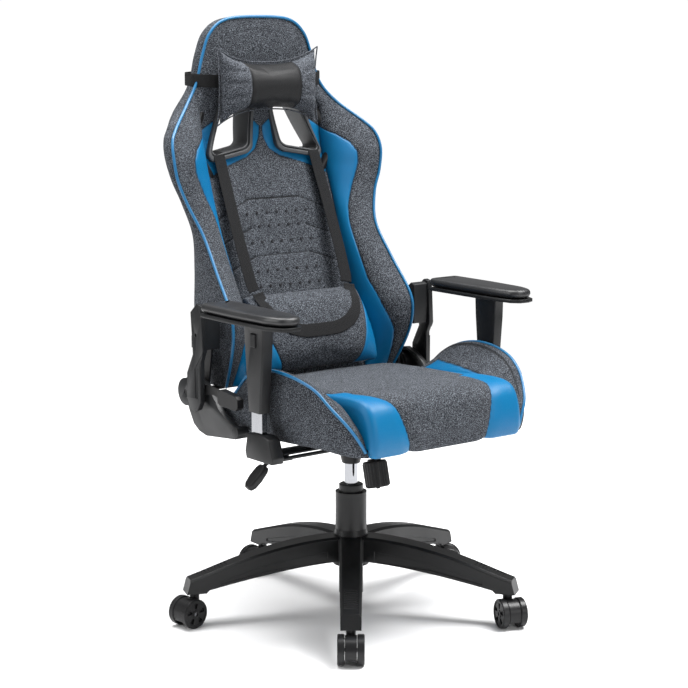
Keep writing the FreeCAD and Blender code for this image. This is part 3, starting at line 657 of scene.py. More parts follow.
bezelShape = {
    "outer": [(0.017, 1.034), (0.032, 0.940), (0.046, 0.930), (0.138, 0.914), (0.148, 0.928), (0.108, 1.030)],
    "inner": [(0.030, 1.024), (0.044, 0.952), (0.054, 0.944), (0.130, 0.930), (0.136, 0.938), (0.098, 1.020)],
    "count": 132, "proud": 0.0045, "roundOuter": 0.012, "roundInner": 0.006,
}


def roundedLoop(corners, radius, count):
    # closed outline with each corner cut back by 'radius' and bowed, read at equal steps
    c = np.array(corners, float)
    before, after = np.roll(c, 1, axis=0), np.roll(c, -1, axis=0)
    back = before - c
    ahead = after - c
    cut = np.minimum(radius, 0.42 * np.minimum(np.linalg.norm(back, axis=1), np.linalg.norm(ahead, axis=1)))
    a = c + back / np.linalg.norm(back, axis=1)[:, None] * cut[:, None]
    b = c + ahead / np.linalg.norm(ahead, axis=1)[:, None] * cut[:, None]
    u = np.linspace(0, 1, 9)[None, :, None]
    bow = (1 - u) ** 2 * a[:, None] + 2 * u * (1 - u) * c[:, None] + u ** 2 * b[:, None]
    loop = bow.reshape(-1, 2)
    loop = np.vstack([loop, loop[:1]])
    length = runLength(loop)
    return readColumns(np.linspace(0, length[-1], count, endpoint=False), length, loop)


def openingCutter():
    # prism through the back a little inside the rim's outer line
    s = bezelShape
    middle = (roundedLoop(s["outer"], s["roundOuter"], 60) * 0.55
              + roundedLoop(s["inner"], s["roundInner"], 60) * 0.45)
    solids = []
    for side in (1, -1):
        near = np.stack([middle[:, 0] * side, np.full(60, 0.20), middle[:, 1]], axis=1)
        far = near + [0, 0.25, 0]
        faces = gridFaces(2, 60, False, True).tolist() + [list(range(60)), list(range(119, 59, -1))]
        solids.append(facesOut(addPiece("openingCutter", np.stack([near, far]), faces, "backrest")))
    return solids


for cutter in openingCutter():
    modifierApplied(backSkin, "BOOLEAN", operation="DIFFERENCE", solver="EXACT", object=cutter)
    bpy.data.objects.remove(cutter)
finish(smoothed(backSkin), panelSkin)
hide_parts("back_cushion", "back_wing_left", "back_wing_right")
print("back made", len(backSkin.data.polygons))


def bezelRing():
    # rim round an opening: a flat lip with a step inside it, walls through the back, a lip behind
    s = bezelShape
    outer = roundedLoop(s["outer"], s["roundOuter"], s["count"])
    inner = roundedLoop(s["inner"], s["roundInner"], s["count"])
    frontY = backFrontY(outer[:, 1]) - 0.006
    rearY = readTable(backShape["rear"], outer[:, 1]) + 0.001
    profile = [(0.0, 1.0), (0.0, -0.55), (0.05, -0.9), (0.12, -1.0), (0.50, -1.0), (0.57, -0.88),
               (0.60, -0.5), (0.61, 0.9), (0.72, 0.9), (0.73, -0.1), (0.78, -0.35), (0.96, -0.35), (1.0, 0.1)]
    points = []
    for share, depth in profile:
        line = outer * (1 - share) + inner * share
        points.append(np.stack([line[:, 0], frontY + depth * s["proud"], line[:, 1]], axis=1))
    for share, depth in reversed(profile):
        line = outer * (1 - share) + inner * share
        points.append(np.stack([line[:, 0], rearY - depth * s["proud"] * 0.5, line[:, 1]], axis=1))
    grid = np.stack(points)
    faces = gridFaces(len(points), s["count"], True, True)
    pieces = [facesOut(addPiece("rim", half, faces, "backrest")) for half in (grid, mirrorX(grid))]
    ring = facesOut(joined("harnessRims", pieces, "backrest"))
    return finish(ring, looks["bezel_plastic"])


rims = bezelRing()
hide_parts("harness_bezels")


# piping round the whole back, sitting on the front edge of the side band
pipingRadius = 0.0030
halfLine = backOutline(170)
pipingPath = np.vstack([halfLine, mirrorX(halfLine)[-2::-1]]) + [0, -0.0012, 0]
outward = np.stack([np.sign(pipingPath[:, 0]) * 0.002 * smoothStep(0, 0.06, np.abs(pipingPath[:, 0])),
                    np.zeros(len(pipingPath)), 0.0006 * smoothStep(1.17, 1.21, pipingPath[:, 2])], axis=1)
backPiping = sweep("backPiping", pipingPath + outward, ringSection(pipingRadius), (0, -1, 0), "backrest")
finish(backPiping, looks["blue_pu"])


# stitched thread on the quilting lines: short dashes lying in the grooves
def stitchDashes():
    dashes, faces, start = [], [], 0
    section = ringSection(0.00055, 5)
    for line in backShape["stitches"]:
        path = np.array(line, float)
        runs = [path, path * [-1, 1]]
        if line[0][0] == 0:
            runs = [np.vstack([path[::-1] * [-1, 1], path[1:]])]
        for run in runs:
            length = runLength(run)
            starts = np.arange(0.001, length[-1] - 0.004, 0.0055)
            at = starts[:, None] + np.linspace(0, 0.0038, 4)[None]
            x, z = np.interp(at, length, run[:, 0]), np.interp(at, length, run[:, 1])
            y = backFrontY(z) + 0.002 * (1 - (np.abs(x) / 0.155).clip(0, 1) ** 2) + 0.0012
            spine = np.stack([x, y - np.array([-0.0008, 0, 0, -0.0008]), z], axis=-1)
            for dash in spine:
                first, second = pathSides(dash, (0, -1, 0))
                ring = (dash[:, None] + second[:, None] * section[None, :, :1]
                        + first[:, None] * section[None, :, 1:])
                dashes.append(ring.reshape(-1, 3))
                faces += (gridFaces(4, 5, False, True)[:, ::-1] + start).tolist()
                faces += [[start + i for i in range(5)], [start + 19 - i for i in range(5)]]
                start += 20
    return finish(addPiece("quiltThread", np.vstack(dashes), faces, "backrest"), threadAndHoleShade)


stitchDashes()


eyelets = {
    "rows": [(0.807, 7), (0.780, 5), (0.748, 7), (0.690, 7), (0.659, 7)],  # height, how many
    "pitch": 0.0254, "sides": 14,
    "rings": [(0.0031, -0.0014), (0.0030, 0.0017), (0.0026, 0.0020), (0.0020, 0.0017), (0.0010, 0.0015)],
}


def punchedHoleShade():
    # small round eyelets in rows, each a dark dished disc with a fine raised rim, its dark middle painted
    # shade standing in for the hole's depth
    rows, pitch, sides = eyelets["rows"], eyelets["pitch"], eyelets["sides"]
    x = np.concatenate([(np.arange(n) - (n - 1) / 2) * pitch for _, n in rows])
    z = np.concatenate([np.full(n, level) for level, n in rows])
    centre = np.stack([x, backFrontY(z) + 0.002 * (1 - (np.abs(x) / 0.155) ** 2), z], axis=1)
    slope = (backFrontY(z + 0.002) - backFrontY(z - 0.002)) / 0.004
    up = np.stack([0 * x, slope, np.ones_like(x)], axis=1) / np.sqrt(1 + slope ** 2)[:, None]
    out = np.stack([0 * x, -np.ones_like(x), slope], axis=1) / np.sqrt(1 + slope ** 2)[:, None]
    turn = np.linspace(0, 2 * np.pi, sides, endpoint=False)
    side = np.array([1.0, 0, 0])
    grid = np.stack([centre[:, None] + side * (r * np.cos(turn))[None, :, None]
                     + up[:, None] * (r * np.sin(turn))[None, :, None] + out[:, None] * lift
                     for r, lift in eyelets["rings"]], axis=1)
    faces, count = [], len(eyelets["rings"])
    for index in range(len(centre)):
        first = index * sides * count
        last = first + sides * (count - 1)
        faces += (gridFaces(count, sides, False, True) + first).tolist()
        faces += [list(range(first + sides - 1, first - 1, -1)), list(range(last, last + sides))]
    # painted shade: the holes are dark discs in the thread's near-black colour, standing in for the hole's
    # depth
    return finish(facesOut(addPiece("punchedHoleShade", grid, faces, "backrest")), threadAndHoleShade)


punchedHoleShade()
print("back trimmed")


# seat: middle cushion with its blue panels, two side wings, piping
seatShape = {
    "side": [(0.138, 0.410), (0.142, 0.440), (0.139, 0.470), (0.110, 0.481), (0.020, 0.490), (-0.100, 0.4965),
             (-0.205, 0.503), (-0.250, 0.5035), (-0.275, 0.499), (-0.291, 0.486), (-0.302, 0.462),
             (-0.307, 0.432), (-0.304, 0.408), (-0.290, 0.401), (-0.20, 0.4008), (-0.05, 0.4008),
             (0.120, 0.4008)],
    "half": 0.190, "round": 0.016, "crown": 0.004, "loop": 260, "columns": 96, "groove": 0.0024,
    # half of the blue panel as (half width, length forward from the notch)
    "panel": [(0.091, 0.30), (0.092, 0.215), (0.100, 0.172), (0.110, 0.139), (0.120, 0.108), (0.131, 0.078),
              (0.139, 0.040), (0.147, 0.004), (0.141, -0.004), (0.143, -0.020), (0.168, -0.030),
              (0.176, -0.080), (0.183, -0.160), (0.189, -0.225), (0.30, -0.225), (0.30, 0.30)],
    "notchY": -0.187,
    # wing stations: y, piping x and z, inner foot x and z, underside z
    "wing": [(-0.2925, 0.189, 0.404, 0.187, 0.4035, 0.4015), (-0.288, 0.202, 0.428, 0.188, 0.415, 0.402),
             (-0.276, 0.222, 0.461, 0.190, 0.440, 0.403), (-0.245, 0.242, 0.497, 0.193, 0.470, 0.406),
             (-0.217, 0.250, 0.521, 0.195, 0.488, 0.408), (-0.185, 0.257, 0.535, 0.195, 0.493, 0.408),
             (-0.140, 0.2625, 0.5445, 0.193, 0.492, 0.407), (-0.089, 0.2645, 0.5465, 0.190, 0.488, 0.405),
             (-0.040, 0.263, 0.538, 0.188, 0.484, 0.403), (0.0, 0.260, 0.519, 0.187, 0.480, 0.402),
             (0.038, 0.256, 0.486, 0.187, 0.474, 0.402), (0.067, 0.253, 0.467, 0.187, 0.464, 0.402),
             (0.109, 0.2505, 0.459, 0.187, 0.458, 0.402)],
    "wedge": [(0.014, 0.474), (-0.020, 0.506), (-0.095, 0.505), (-0.165, 0.500), (-0.165, 0.44),
              (0.014, 0.44)],
}


def seatMiddle():
    # a side profile carried across the seat, its edges rounded over and its ends closed flat
    s = seatShape
    side = throughPoints(s["side"] + s["side"][:1], s["loop"] + 1)[:-1]
    ahead = np.roll(side, -1, axis=0) - np.roll(side, 1, axis=0)
    ahead /= np.linalg.norm(ahead, axis=1, keepdims=True)
    out = np.stack([ahead[:, 1], -ahead[:, 0]], axis=1)
    length = runLength(np.vstack([side, side[:1]]))[:-1]
    top = np.arange(s["loop"]) < s["loop"] * 0.62
    notch = length[top][np.argmin(np.abs(side[top, 0] - s["notchY"]))]
    forward = (length - notch)[:, None]
    a = np.linspace(-1, 1, s["columns"])
    x = s["half"] * np.sign(a) * (1 - (1 - np.abs(a)) ** 1.35)
    q = ((np.abs(x) - (s["half"] - s["round"])) / s["round"]).clip(0, 1)
    drop = s["round"] * (1 - np.sqrt(1 - q ** 2 * 0.9999))
    upper = smoothStep(0.455, 0.49, side[:, 1])[:, None]
    swell = s["crown"] * (1 - (x / s["half"]) ** 2)[None] * upper
    w, forward = np.broadcast_arrays(np.abs(x)[None] + 0.6 * drop[None], forward)
    blue = outlineDistance(s["panel"], w, forward)
    seam = np.abs(blue)
    groove = s["groove"] * np.exp(-(seam / 0.004) ** 2)
    puff = 0.0025 * smoothStep(0, 0.025, np.abs(blue))
    lift = swell - drop[None] - groove + puff * (np.abs(x)[None] < s["half"] - 0.004)
    sign = -1 if out[0, 0] < 0 else 1
    points = np.stack([x[None] + 0 * lift, side[:, :1] + sign * out[:, :1] * lift,
                       side[:, 1:] + sign * out[:, 1:] * lift], axis=-1)
    rows, columns = points.shape[:2]
    faces = gridFaces(rows, columns, True, False).tolist()
    faces += [[r * columns for r in range(rows)], [r * columns + columns - 1 for r in range(rows)]]
    piece = addPiece("seatMiddle", points, faces, "seat")
    marked(piece, blue, seam)
    return facesOut(piece)


seatPad = seatMiddle()
finish(seatPad, panelSkin)
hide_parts("seat_cushion")


def wingRings():
    # section round each wing: inner face up from the cushion, narrow top, piping, outer side, underside
    table = throughPoints(seatShape["wing"], 130)
    y, px, pz, ix, iz, bz = (table[:, k] for k in range(6))
    tall = np.maximum(pz - iz, 0.0008)
    full = (pz - bz) / 0.13
    strip = 0.017 * np.minimum(1, (px - ix) / 0.05).clip(0.1, 1)
    side = np.minimum(full, 1)
    control = [(ix, bz + 0.001), (ix - 0.004 * side, 0.5 * (iz + bz)), (ix, iz),
               (ix + 0.42 * (px - strip - ix), iz + 0.42 * tall),
               (px - strip - 0.006 * side, pz - 0.16 * tall),
               (px - strip, pz - 0.02 * tall), (px - 0.55 * strip, pz + 0.0020 * side), (px, pz),
               (px + 0.0035 * side, pz - 0.20 * (pz - bz)), (px + 0.004 * side, pz - 0.5 * (pz - bz)),
               (px - 0.004 * side, bz + 0.22 * (pz - bz)), (px - 0.016 * side, bz + 0.03 * (pz - bz)),
               (px - 0.032 * side, bz)]
    x = np.stack([c[0] for c in control], axis=1)
    z = np.stack([c[1] for c in control], axis=1)
    count = len(control)
    rings = []
    for low, high, steps in ((0, 5, 30), (5, 7, 8), (7, count, 34)):
        index = [i % count for i in range(low, high + 1)]
        flat = np.stack([x[:, index], z[:, index]], axis=-1)
        line = throughPoints(np.moveaxis(flat, 1, 0).reshape(high - low + 1, -1), steps + 1)[:-1]
        rings.append(np.moveaxis(line.reshape(steps, len(y), 2), 0, 1))
    ring = np.concatenate(rings, axis=1)
    points = np.stack([ring[..., 0], np.broadcast_to(y[:, None], ring.shape[:2]), ring[..., 1]], axis=-1)
    return points, table


def seatWing(side):
    points, table = wingRings()
    columns = np.arange(points.shape[1])[None] + np.zeros(points.shape[:2])
    blue = outlineDistance(seatShape["wedge"], points[..., 1], points[..., 2])
    blue = np.where(columns < 29, blue, -0.02)
    seam = np.minimum(np.abs(blue) + 0.02 * (columns >= 29), np.abs(columns - 30) * 0.0022)
    seam = np.where(points[..., 1] > -0.27, seam, 0.02)
    rows, count = points.shape[:2]
    faces = gridFaces(rows, count, False, True).tolist()
    faces += [list(range(count)), [rows * count - 1 - i for i in range(count)]]
    name = "seatWingLeft" if side > 0 else "seatWingRight"
    piece = addPiece(name, points * [side, 1, 1], faces, "seat")
    marked(piece, blue, seam)
    facesOut(piece)
    finish(piece, panelSkin)
    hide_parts("seat_wing_left" if side > 0 else "seat_wing_right")
    line = table[2:, [1, 0, 2]] * [side, 1, 1] + [side * 0.0012, -0.0004, 0.0010]
    welt = sweep(name + "Piping", line, ringSection(0.0029), (0, 0, 1), "seat")
    return finish(welt, looks["blue_pu"])


for side in (1, -1):
    seatWing(side)
print("seat made")


# pillows and their straps
def stuffed(piece, cap, voxel, pressure=4.0):
    # the shape remeshed and blown up as cloth for twenty frames, no point going further than the cap
    modifierApplied(piece, "REMESH", mode="VOXEL", voxel_size=voxel)
    start = pointsOf(piece)
    cloth = piece.modifiers.new("Cloth", "CLOTH")
    cloth.settings.use_pressure = True
    cloth.settings.uniform_pressure_force = pressure
    cloth.settings.effector_weights.gravity = 0
    cloth.settings.tension_stiffness = cloth.settings.compression_stiffness = 12
    cloth.point_cache.frame_start, cloth.point_cache.frame_end = 1, 20
    for frameNumber in range(1, 21):
        bpy.context.scene.frame_set(frameNumber)
    shaped = piece.evaluated_get(bpy.context.evaluated_depsgraph_get())
    move = pointsOf(shaped) - start
    piece.modifiers.clear()
    bpy.context.scene.frame_set(1)
    far = np.linalg.norm(move, axis=1, keepdims=True)
    move *= np.minimum(1, cap / np.maximum(far, 1e-9))
    piece.data.vertices.foreach_set("co", (start + move).ravel())
    piece.data.update()
    return piece


def pillowGrid(across, upward, front, rear):
    # two faces over the same (a, b) square, meeting along its rim; a and b bunch up towards the rim
    a = np.sin(np.linspace(-np.pi / 2, np.pi / 2, across))[:, None]
    b = np.sin(np.linspace(-np.pi / 2, np.pi / 2, upward))[None]
    near, far = front(a, b), rear(a, b)
    faces = gridFaces(across, upward)
    return np.stack([near, far]), np.vstack([faces, faces[:, ::-1] + across * upward])


def fullness(a, b, acrossPower, upPower, root):
    # one in the middle of the square, nothing along its rim
    return (1 - np.abs(b) ** upPower).clip(0) ** root * (1 - np.abs(a) ** acrossPower).clip(0) ** root


headShape = {"half": 0.129, "middleZ": 1.070, "halfTall": 0.0485, "earTall": 0.031, "front": 0.250,
             "rim": 0.284, "rear": 0.306, "cap": 0.004, "voxel": 0.0045,
             "panel": [(1.000, 0.060), (1.035, 0.0625), (1.070, 0.0635), (1.105, 0.0625), (1.150, 0.060)]}


def headOutline(a, b):
    s = headShape
    waist = 1 - 0.055 * (1 - b ** 2) * np.abs(a) ** 3
    x = s["half"] * a * waist
    z = s["middleZ"] + b * (s["halfTall"] + s["earTall"] * np.abs(a) ** 2.6)
    return x, z


def headFront(a, b):
    s = headShape
    x, z = headOutline(a, b)
    plump = fullness(a, b, 3.2, 2, 0.55)
    y = s["rim"] + 0.006 * (1 - a ** 2) - (s["rim"] + 0.006 - s["front"]) * plump
    return np.stack([x, y, z], axis=-1)


def headRear(a, b):
    s = headShape
    x, z = headOutline(a, b)
    plump = fullness(a, b, 3, 2, 0.5)
    y = s["rim"] + 0.006 * (1 - a ** 2) + (s["rear"] - s["rim"] - 0.006) * plump
    return np.stack([x, y, z], axis=-1)


def creases(points, lines, depth, width):
    # shallow folds along short lines given as x, z pairs, pressed in along -y on the near face
    x, z = points[:, 0], points[:, 2]
    total = np.zeros(len(points))
    for line in lines:
        total += np.exp(-(lineDistance(line, x, z) / width) ** 2)
    return depth * total


def makeHeadPillow():
    grid, faces = pillowGrid(64, 46, headFront, headRear)
    piece = facesOut(addPiece("headPillow", grid, faces, "headrest"))
    stuffed(piece, headShape["cap"], headShape["voxel"])
    modifierApplied(piece, "SUBSURF", levels=1, render_levels=1)
    p = pointsOf(piece)
    s = headShape
    side = np.abs(p[:, 0])
    edge = np.interp(p[:, 2], [r[0] for r in s["panel"]], [r[1] for r in s["panel"]])
    inner = edge - side
    nearFace = smoothStep(0.292, 0.285, p[:, 1])
    pull = 0.0022 * np.exp(-(inner / 0.004) ** 2) * nearFace
    folds = []
    for sign in (1, -1):
        for z0, z1, x1 in ((1.120, 1.136, 0.112), (1.100, 1.105, 0.118), (1.078, 1.077, 0.116),
                           (1.052, 1.044, 0.118), (1.030, 1.014, 0.114)):
            folds.append([(sign * 0.078, z0), (sign * x1, z1)])
    press = creases(p, folds, 0.0022, 0.0045) * nearFace
    p[:, 1] += pull + press
    head = backFrontY(p[:, 2]) - 0.0125
    p[:, 1] = np.where(side < 0.11, np.minimum(p[:, 1], head + 0.002), p[:, 1])
    piece.data.vertices.foreach_set("co", p.ravel())
    marked(piece, np.where(p[:, 1] < 0.30, inner, -0.02), np.where(nearFace > 0.5, np.abs(inner), 0.02))
    smoothed(piece).data.update()
    finish(piece, headSkin)
    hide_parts("headrest_pillow")
    # pale seam line round the rim
    turn = np.linspace(-1, 1, 60)
    one = np.ones_like(turn)
    rim = np.concatenate([np.stack(headOutline(turn, one), 1), np.stack(headOutline(one, -turn), 1)[1:],
                          np.stack(headOutline(-turn, -one), 1)[1:],
                          np.stack(headOutline(-one, turn), 1)[1:-1]])
    depth = s["rim"] + 0.006 * (1 - (rim[:, 0] / s["half"]).clip(-1, 1) ** 2)
    centre = np.array([0, s["middleZ"]])
    rim = centre + (rim - centre) * 1.006
    line = np.stack([rim[:, 0], depth - 0.001, rim[:, 1]], axis=1)
    welt = sweep("headPillowSeam", line, ringSection(0.0015, 8), (0, -1, 0), "headrest", closed=True)
    finish(welt, clothWelt)
    return piece


headSkin = panelMaterial("headPillowSkin", heatherPale, {"Tint": (0.006, 0.0062, 0.007, 1),
                         "Deep": (0.003, 0.003, 0.0035, 1), "Grain": 950.0, "Gloss": 0.52})
makeHeadPillow()
print("head pillow made")

# lumbar pillow: front face leans back with the chair; a across, b up the slope
lumbarShape = {"foot": (0.100, 0.496), "top": (0.166, 0.655), "half": (0.166, 0.150), "deep": 0.040,
               "rear": 0.052, "cap": 0.004, "voxel": 0.005,
               "panel": [(0.485, 0.090), (0.494, 0.094), (0.530, 0.110), (0.560, 0.122), (0.600, 0.134),
                         (0.640, 0.146), (0.655, 0.152), (0.670, 0.16)]}


def lumbarPoint(a, b, out):
    # slope from foot to top with the depth measured square to it
    s = lumbarShape
    foot, top = np.array(s["foot"]), np.array(s["top"])
    slope = (top - foot) / np.linalg.norm(top - foot)
    square = np.array([-slope[1], slope[0]])
    middle = (foot + top) / 2 + square * -0.012
    tall = np.linalg.norm(top - foot) / 2
    pinch = 1 - 0.03 * np.abs(a) ** 4
    half = (s["half"][0] + (s["half"][1] - s["half"][0]) * (b + 1) / 2) * (1 - 0.028 * b ** 2)
    x = half * a
    y = middle[0] + slope[0] * tall * b * pinch + square[0] * out
    z = middle[1] + slope[1] * tall * b * pinch + square[1] * out
    return np.stack(np.broadcast_arrays(x, y, z), axis=-1)


def lumbarFront(a, b):
    return lumbarPoint(a, b, lumbarShape["deep"] * fullness(a, b, 4, 2.6, 0.5))


def lumbarRear(a, b):
    plump = fullness(a, b, 4, 3, 0.5)
    return lumbarPoint(a, b, -lumbarShape["rear"] * plump * (1 - 0.45 * np.abs(a) ** 2))


def makeLumbarPillow():
    grid, faces = pillowGrid(70, 44, lumbarFront, lumbarRear)
    piece = facesOut(addPiece("lumbarPillow", grid, faces, "lumbar"))
    stuffed(piece, lumbarShape["cap"], lumbarShape["voxel"])
    modifierApplied(piece, "SUBSURF", levels=1, render_levels=1)
    p = pointsOf(piece)
    side = np.abs(p[:, 0])
    s = lumbarShape
    edge = np.interp(p[:, 2], [r[0] for r in s["panel"]], [r[1] for r in s["panel"]])
    blue = side - edge
    wall = backFrontY(p[:, 2]) + 0.004
    p[:, 1] = np.minimum(p[:, 1], np.where(side < 0.15, wall, 1))
    p[:, 1] += 0.002 * np.exp(-(blue / 0.0045) ** 2)
    piece.data.vertices.foreach_set("co", p.ravel())
    marked(piece, blue, np.abs(blue))
    smoothed(piece).data.update()
    finish(piece, panelSkin)
    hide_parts("lumbar_pillow")
    return piece


lumbarPillow = makeLumbarPillow()
print("lumbar pillow made")


def frontOf(piece, x, z, clearance):
    # y of a piece's near face under a straight look along +y
    hits = [piece.ray_cast((px, -1.0, pz), (0, 1, 0)) for px, pz in zip(x, z)]
    found = np.array([hit[1][1] if hit[0] else np.nan for hit in hits])
    good = ~np.isnan(found)
    return np.interp(np.arange(len(x)), np.arange(len(x))[good], found[good]) - clearance


strapSizes = {"long": 0.028, "wide": 0.028, "head": 0.027, "thick": 0.0016}


def pillowWebbing():
    # down from the pillow's top, in towards the middle, across and up the other side
    half = [(0.1185, 0.6545), (0.1165, 0.645), (0.113, 0.632), (0.107, 0.617), (0.098, 0.603), (0.083, 0.591),
            (0.062, 0.582), (0.038, 0.577), (0.0, 0.5765)]
    whole = half + [(-x, z) for x, z in half[-2::-1]]
    flat = throughPoints(whole, 120)
    y = frontOf(lumbarPillow, flat[:, 0], flat[:, 1], 0.0006)
    y = np.convolve(np.pad(y, 3, "edge"), np.ones(7) / 7, "valid")
    path = np.stack([flat[:, 0], y, flat[:, 1]], axis=1)
    slope = np.stack([0 * y, -0.92 + 0 * y, 0.39 + 0 * y], axis=1)
    section = strapSection(strapSizes["wide"], strapSizes["thick"])
    piece = sweep("pillowWebbing", path, section, slope, "lumbar")
    return finish(piece, looks["black_webbing"])


pillowWebbing()


def longStrap(side):
    # from behind the back, over the foot of the opening and down the front to the pillow
    z = np.linspace(0.918, 0.672, 14)
    x = np.interp(z, [0.66, 0.72, 0.80, 0.92], [0.122, 0.1245, 0.125, 0.1225])
    taut = np.interp(z, [0.6565, 0.929], [0.169, 0.2885])
    down = np.stack([x, np.minimum(backFrontY(z) + 0.0008, taut), z], axis=1)
    rear = backSkin.ray_cast((0.119, 1.0, 0.912), (0, -1, 0))[1][1] + 0.0014
    start = [(0.119, rear, 0.905), (0.119, rear, 0.921), (0.1195, rear - 0.008, 0.9338),
             (0.120, (rear + 0.2965) / 2, 0.9348), (0.1215, 0.2965, 0.9338), (0.122, 0.2895, 0.929)]
    end = [(0.119, 0.1695, 0.6575)]
    path = throughPoints(start + down.tolist() + end, 150) * [side, 1, 1]
    ahead = np.gradient(path, axis=0)
    up = np.stack([0 * path[:, 0], -ahead[:, 2], ahead[:, 1]], axis=1)
    name = "longStrapLeft" if side > 0 else "longStrapRight"
    piece = sweep(name, path, strapSection(strapSizes["long"], strapSizes["thick"]), up, None)
    finish(piece, looks["black_webbing"])
    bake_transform(piece)
    return piece


for side in (1, -1):
    longStrap(side)


def headStrap():
    # elastic from the pillow's ends round the back of the head
    half = [(0.112, 0.296, 1.081), (0.132, 0.300, 1.082), (0.1525, 0.3115, 1.083), (0.1635, 0.322, 1.084),
            (0.1635, 0.340, 1.085), (0.156, 0.360, 1.086), (0.120, 0.3735, 1.087), (0.060, 0.377, 1.088),
            (0.0, 0.378, 1.088)]
    whole = half + [(-x, y, z) for x, y, z in half[-2::-1]]
    path = throughPoints(whole, 150)
    piece = sweep("headStrap", path, strapSection(strapSizes["thick"], strapSizes["head"], 20, 5), (0, 0, 1),
                  "headrest")
    return finish(piece, looks["black_webbing"])


headStrap()
print("straps made")


# hard parts: rounded copies of the moulded pieces, and the arm pads
def softened(name, node, body, width, material, angle=28):
    # a copy of a frame part, merged and rid of its flat triangles, with its edges rounded over
    source = frame["nodes"][node]
    piece = bpy.data.objects.new(name, source.data.copy())
    bpy.context.scene.collection.objects.link(piece)
    work = bmesh.new()
    work.from_mesh(piece.data)
    bmesh.ops.remove_doubles(work, verts=work.verts, dist=2e-6)
    bmesh.ops.dissolve_limit(work, angle_limit=radians(1.0), verts=work.verts, edges=work.edges)
    work.to_mesh(piece.data)
    work.free()
    modifierApplied(piece, "BEVEL", width=width, segments=2, limit_method="ANGLE", angle_limit=radians(angle),
                    use_clamp_overlap=True)
    smoothed(piece).data.set_sharp_from_angle(angle=radians(40))
    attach(piece, body)
    finish(piece, material)
    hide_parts(node)
    return piece


for side in ("left", "right"):
    name = side.capitalize()
    softened("upperHingeCover" + name, "hinge_cover_upper_" + side, "backrest", 0.0016,
             looks["cover_plastic"])
    softened("lowerHingeCover" + name, "hinge_cover_lower_" + side, "seat", 0.0016, looks["cover_plastic"])
    softened("armFoot" + name, "arm_bracket_" + side, "seat", 0.0018, looks["arm_plastic"])
    softened("armSleeve" + name, "arm_sleeve_" + side, "arm_" + side, 0.0018, looks["arm_plastic"])
softened("leverPaddle", "lever_grip", "height_lever", 0.0016, looks["knob_plastic"])
print("moulded parts rounded")

padShape = {
    "plan": [(0.254, 0.056), (0.266, 0.060), (0.320, 0.060), (0.331, 0.052), (0.333, -0.060), (0.328, -0.160),
             (0.315, -0.194), (0.298, -0.202), (0.278, -0.200), (0.266, -0.186), (0.259, -0.146),
             (0.256, -0.060)],
    "corner": 0.018, "count": 120,
    # layers from the underside to the top as height and inset from the outline
    "layers": [(0.6476, 0.020), (0.6476, 0.010), (0.6490, 0.0050), (0.6520, 0.0018), (0.6560, 0.0),
               (0.6600, 0.0003),
               (0.6635, 0.0020), (0.6655, 0.0050), (0.6662, 0.0090), (0.6668, 0.0130), (0.6672, 0.0200),
               (0.6674, 0.0300)],
}


def armPad(side):
    # the rounded outline stacked in layers, each drawn in towards the middle line by its inset
    s = padShape
    loop = roundedLoop(s["plan"], s["corner"], s["count"])
    ahead = np.roll(loop, -1, axis=0) - np.roll(loop, 1, axis=0)
    ahead /= np.linalg.norm(ahead, axis=1, keepdims=True)
    inward = np.stack([-ahead[:, 1], ahead[:, 0]], axis=1)
    centre = loop.mean(axis=0)
    inward *= np.sign(((centre - loop) * inward).sum(axis=1))[:, None]
    spine = np.stack([np.full(len(loop), centre[0]), loop[:, 1].clip(-0.17, 0.02)], axis=1)
    rings = []
    for height, inset in s["layers"]:
        line = loop + inward * min(inset, 0.012) + (spine - loop) * (max(inset - 0.012, 0) / 0.045)
        rings.append(np.stack([line[:, 0], line[:, 1], np.full(len(line), height)], axis=1))
    crown = np.stack([spine[:, 0], spine[:, 1], np.full(len(spine), s["layers"][-1][0] + 0.0002)], axis=1)
    floor = np.stack([spine[:, 0], spine[:, 1], np.full(len(spine), s["layers"][0][0])], axis=1)
    grid = np.stack([floor] + rings + [crown])
    name = "armPadLeft" if side > 0 else "armPadRight"
    piece = addPiece(name, grid * [side, 1, 1], gridFaces(len(grid), s["count"], False, True),
                     "arm_left" if side > 0 else "arm_right")
    facesOut(piece, 2e-5)
    finish(piece, looks["arm_pad_pu"])
    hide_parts("arm_pad_left" if side > 0 else "arm_pad_right")
    return piece


for side in (1, -1):
    armPad(side)
print("arm pads made")


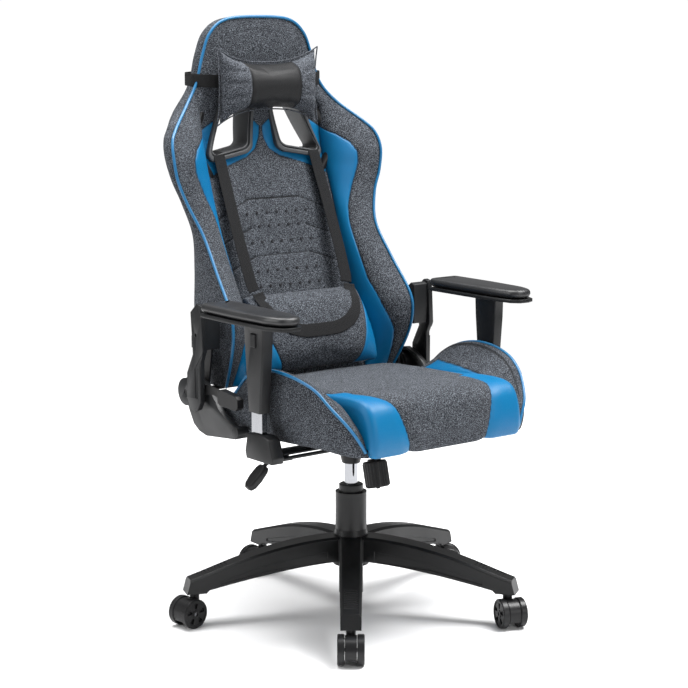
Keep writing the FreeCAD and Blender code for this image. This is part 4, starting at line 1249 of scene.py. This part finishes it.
# room: pale floor and soft lights
def floorDisc(radius=2.7, rings=24, spokes=96):
    # flat rings about the middle of the floor
    r = radius * (np.linspace(0, 1, rings) ** 2)[1:, None]
    turn = np.linspace(0, 2 * np.pi, spokes, endpoint=False)[None]
    points = np.stack([r * np.cos(turn), r * np.sin(turn), 0 * r * turn], axis=-1).reshape(-1, 3)
    points = np.vstack([points, [[0, 0, 0]]])
    faces = gridFaces(rings - 1, spokes, False, True)[:, ::-1].tolist()
    faces += [[i, (i + 1) % spokes, len(points) - 1] for i in range(spokes)]
    mesh = bpy.data.meshes.new("studioFloor")
    mesh.from_pydata(points.tolist(), [], faces)
    floor = bpy.data.objects.new("studioFloor", mesh)
    bpy.context.scene.collection.objects.link(floor)
    material = bpy.data.materials.new("paleFloor")
    material.use_nodes = True
    shader = material.node_tree.nodes["Principled BSDF"]
    shader.inputs["Base Color"].default_value = (0.90, 0.90, 0.905, 1)
    shader.inputs["Roughness"].default_value = 0.7
    shader.inputs["Specular IOR Level"].default_value = 0.15
    mesh.materials.append(material)


def areaLight(name, place, aim, size, power):
    data = bpy.data.lights.new(name, "AREA")
    data.shape, data.size, data.size_y = "RECTANGLE", size[0], size[1]
    data.energy = power
    light = bpy.data.objects.new(name, data)
    light.location = place
    light.rotation_euler = (Vector(aim) - Vector(place)).to_track_quat("-Z", "Y").to_euler()
    bpy.context.scene.collection.objects.link(light)


floorDisc()
studioLights = {  # place, where it points, size, power
    "keyLight": ((1.6, -1.3, 4.3), (0, 0, 0.5), (2.0, 2.0), 345),
    "topLight": ((-0.7, 0.9, 4.2), (0, 0, 0.5), (2.4, 2.4), 225),
    "frontLight": ((-0.4, -4.6, 2.0), (0, 0, 0.7), (2.4, 1.8), 62),
    "rimLight": ((-3.6, 1.2, 1.9), (0, 0, 0.7), (0.7, 2.4), 60),
}
for name, values in studioLights.items():
    areaLight(name, *values)
world = bpy.data.worlds.new("studio")
bpy.context.scene.world = world
world.use_nodes = True
air = Nodes(world.node_tree)
seen = air.add("ShaderNodeLightPath").outputs["Is Camera Ray"]
backdrop = world.node_tree.nodes["Background"]
backdrop.inputs["Color"].default_value = (1, 1, 1, 1)
air.feed(backdrop, "Strength", air.mixNumbers(seen, 0.27, 1.02))
bpy.context.scene.view_settings.view_transform = "Standard"

print("room made")
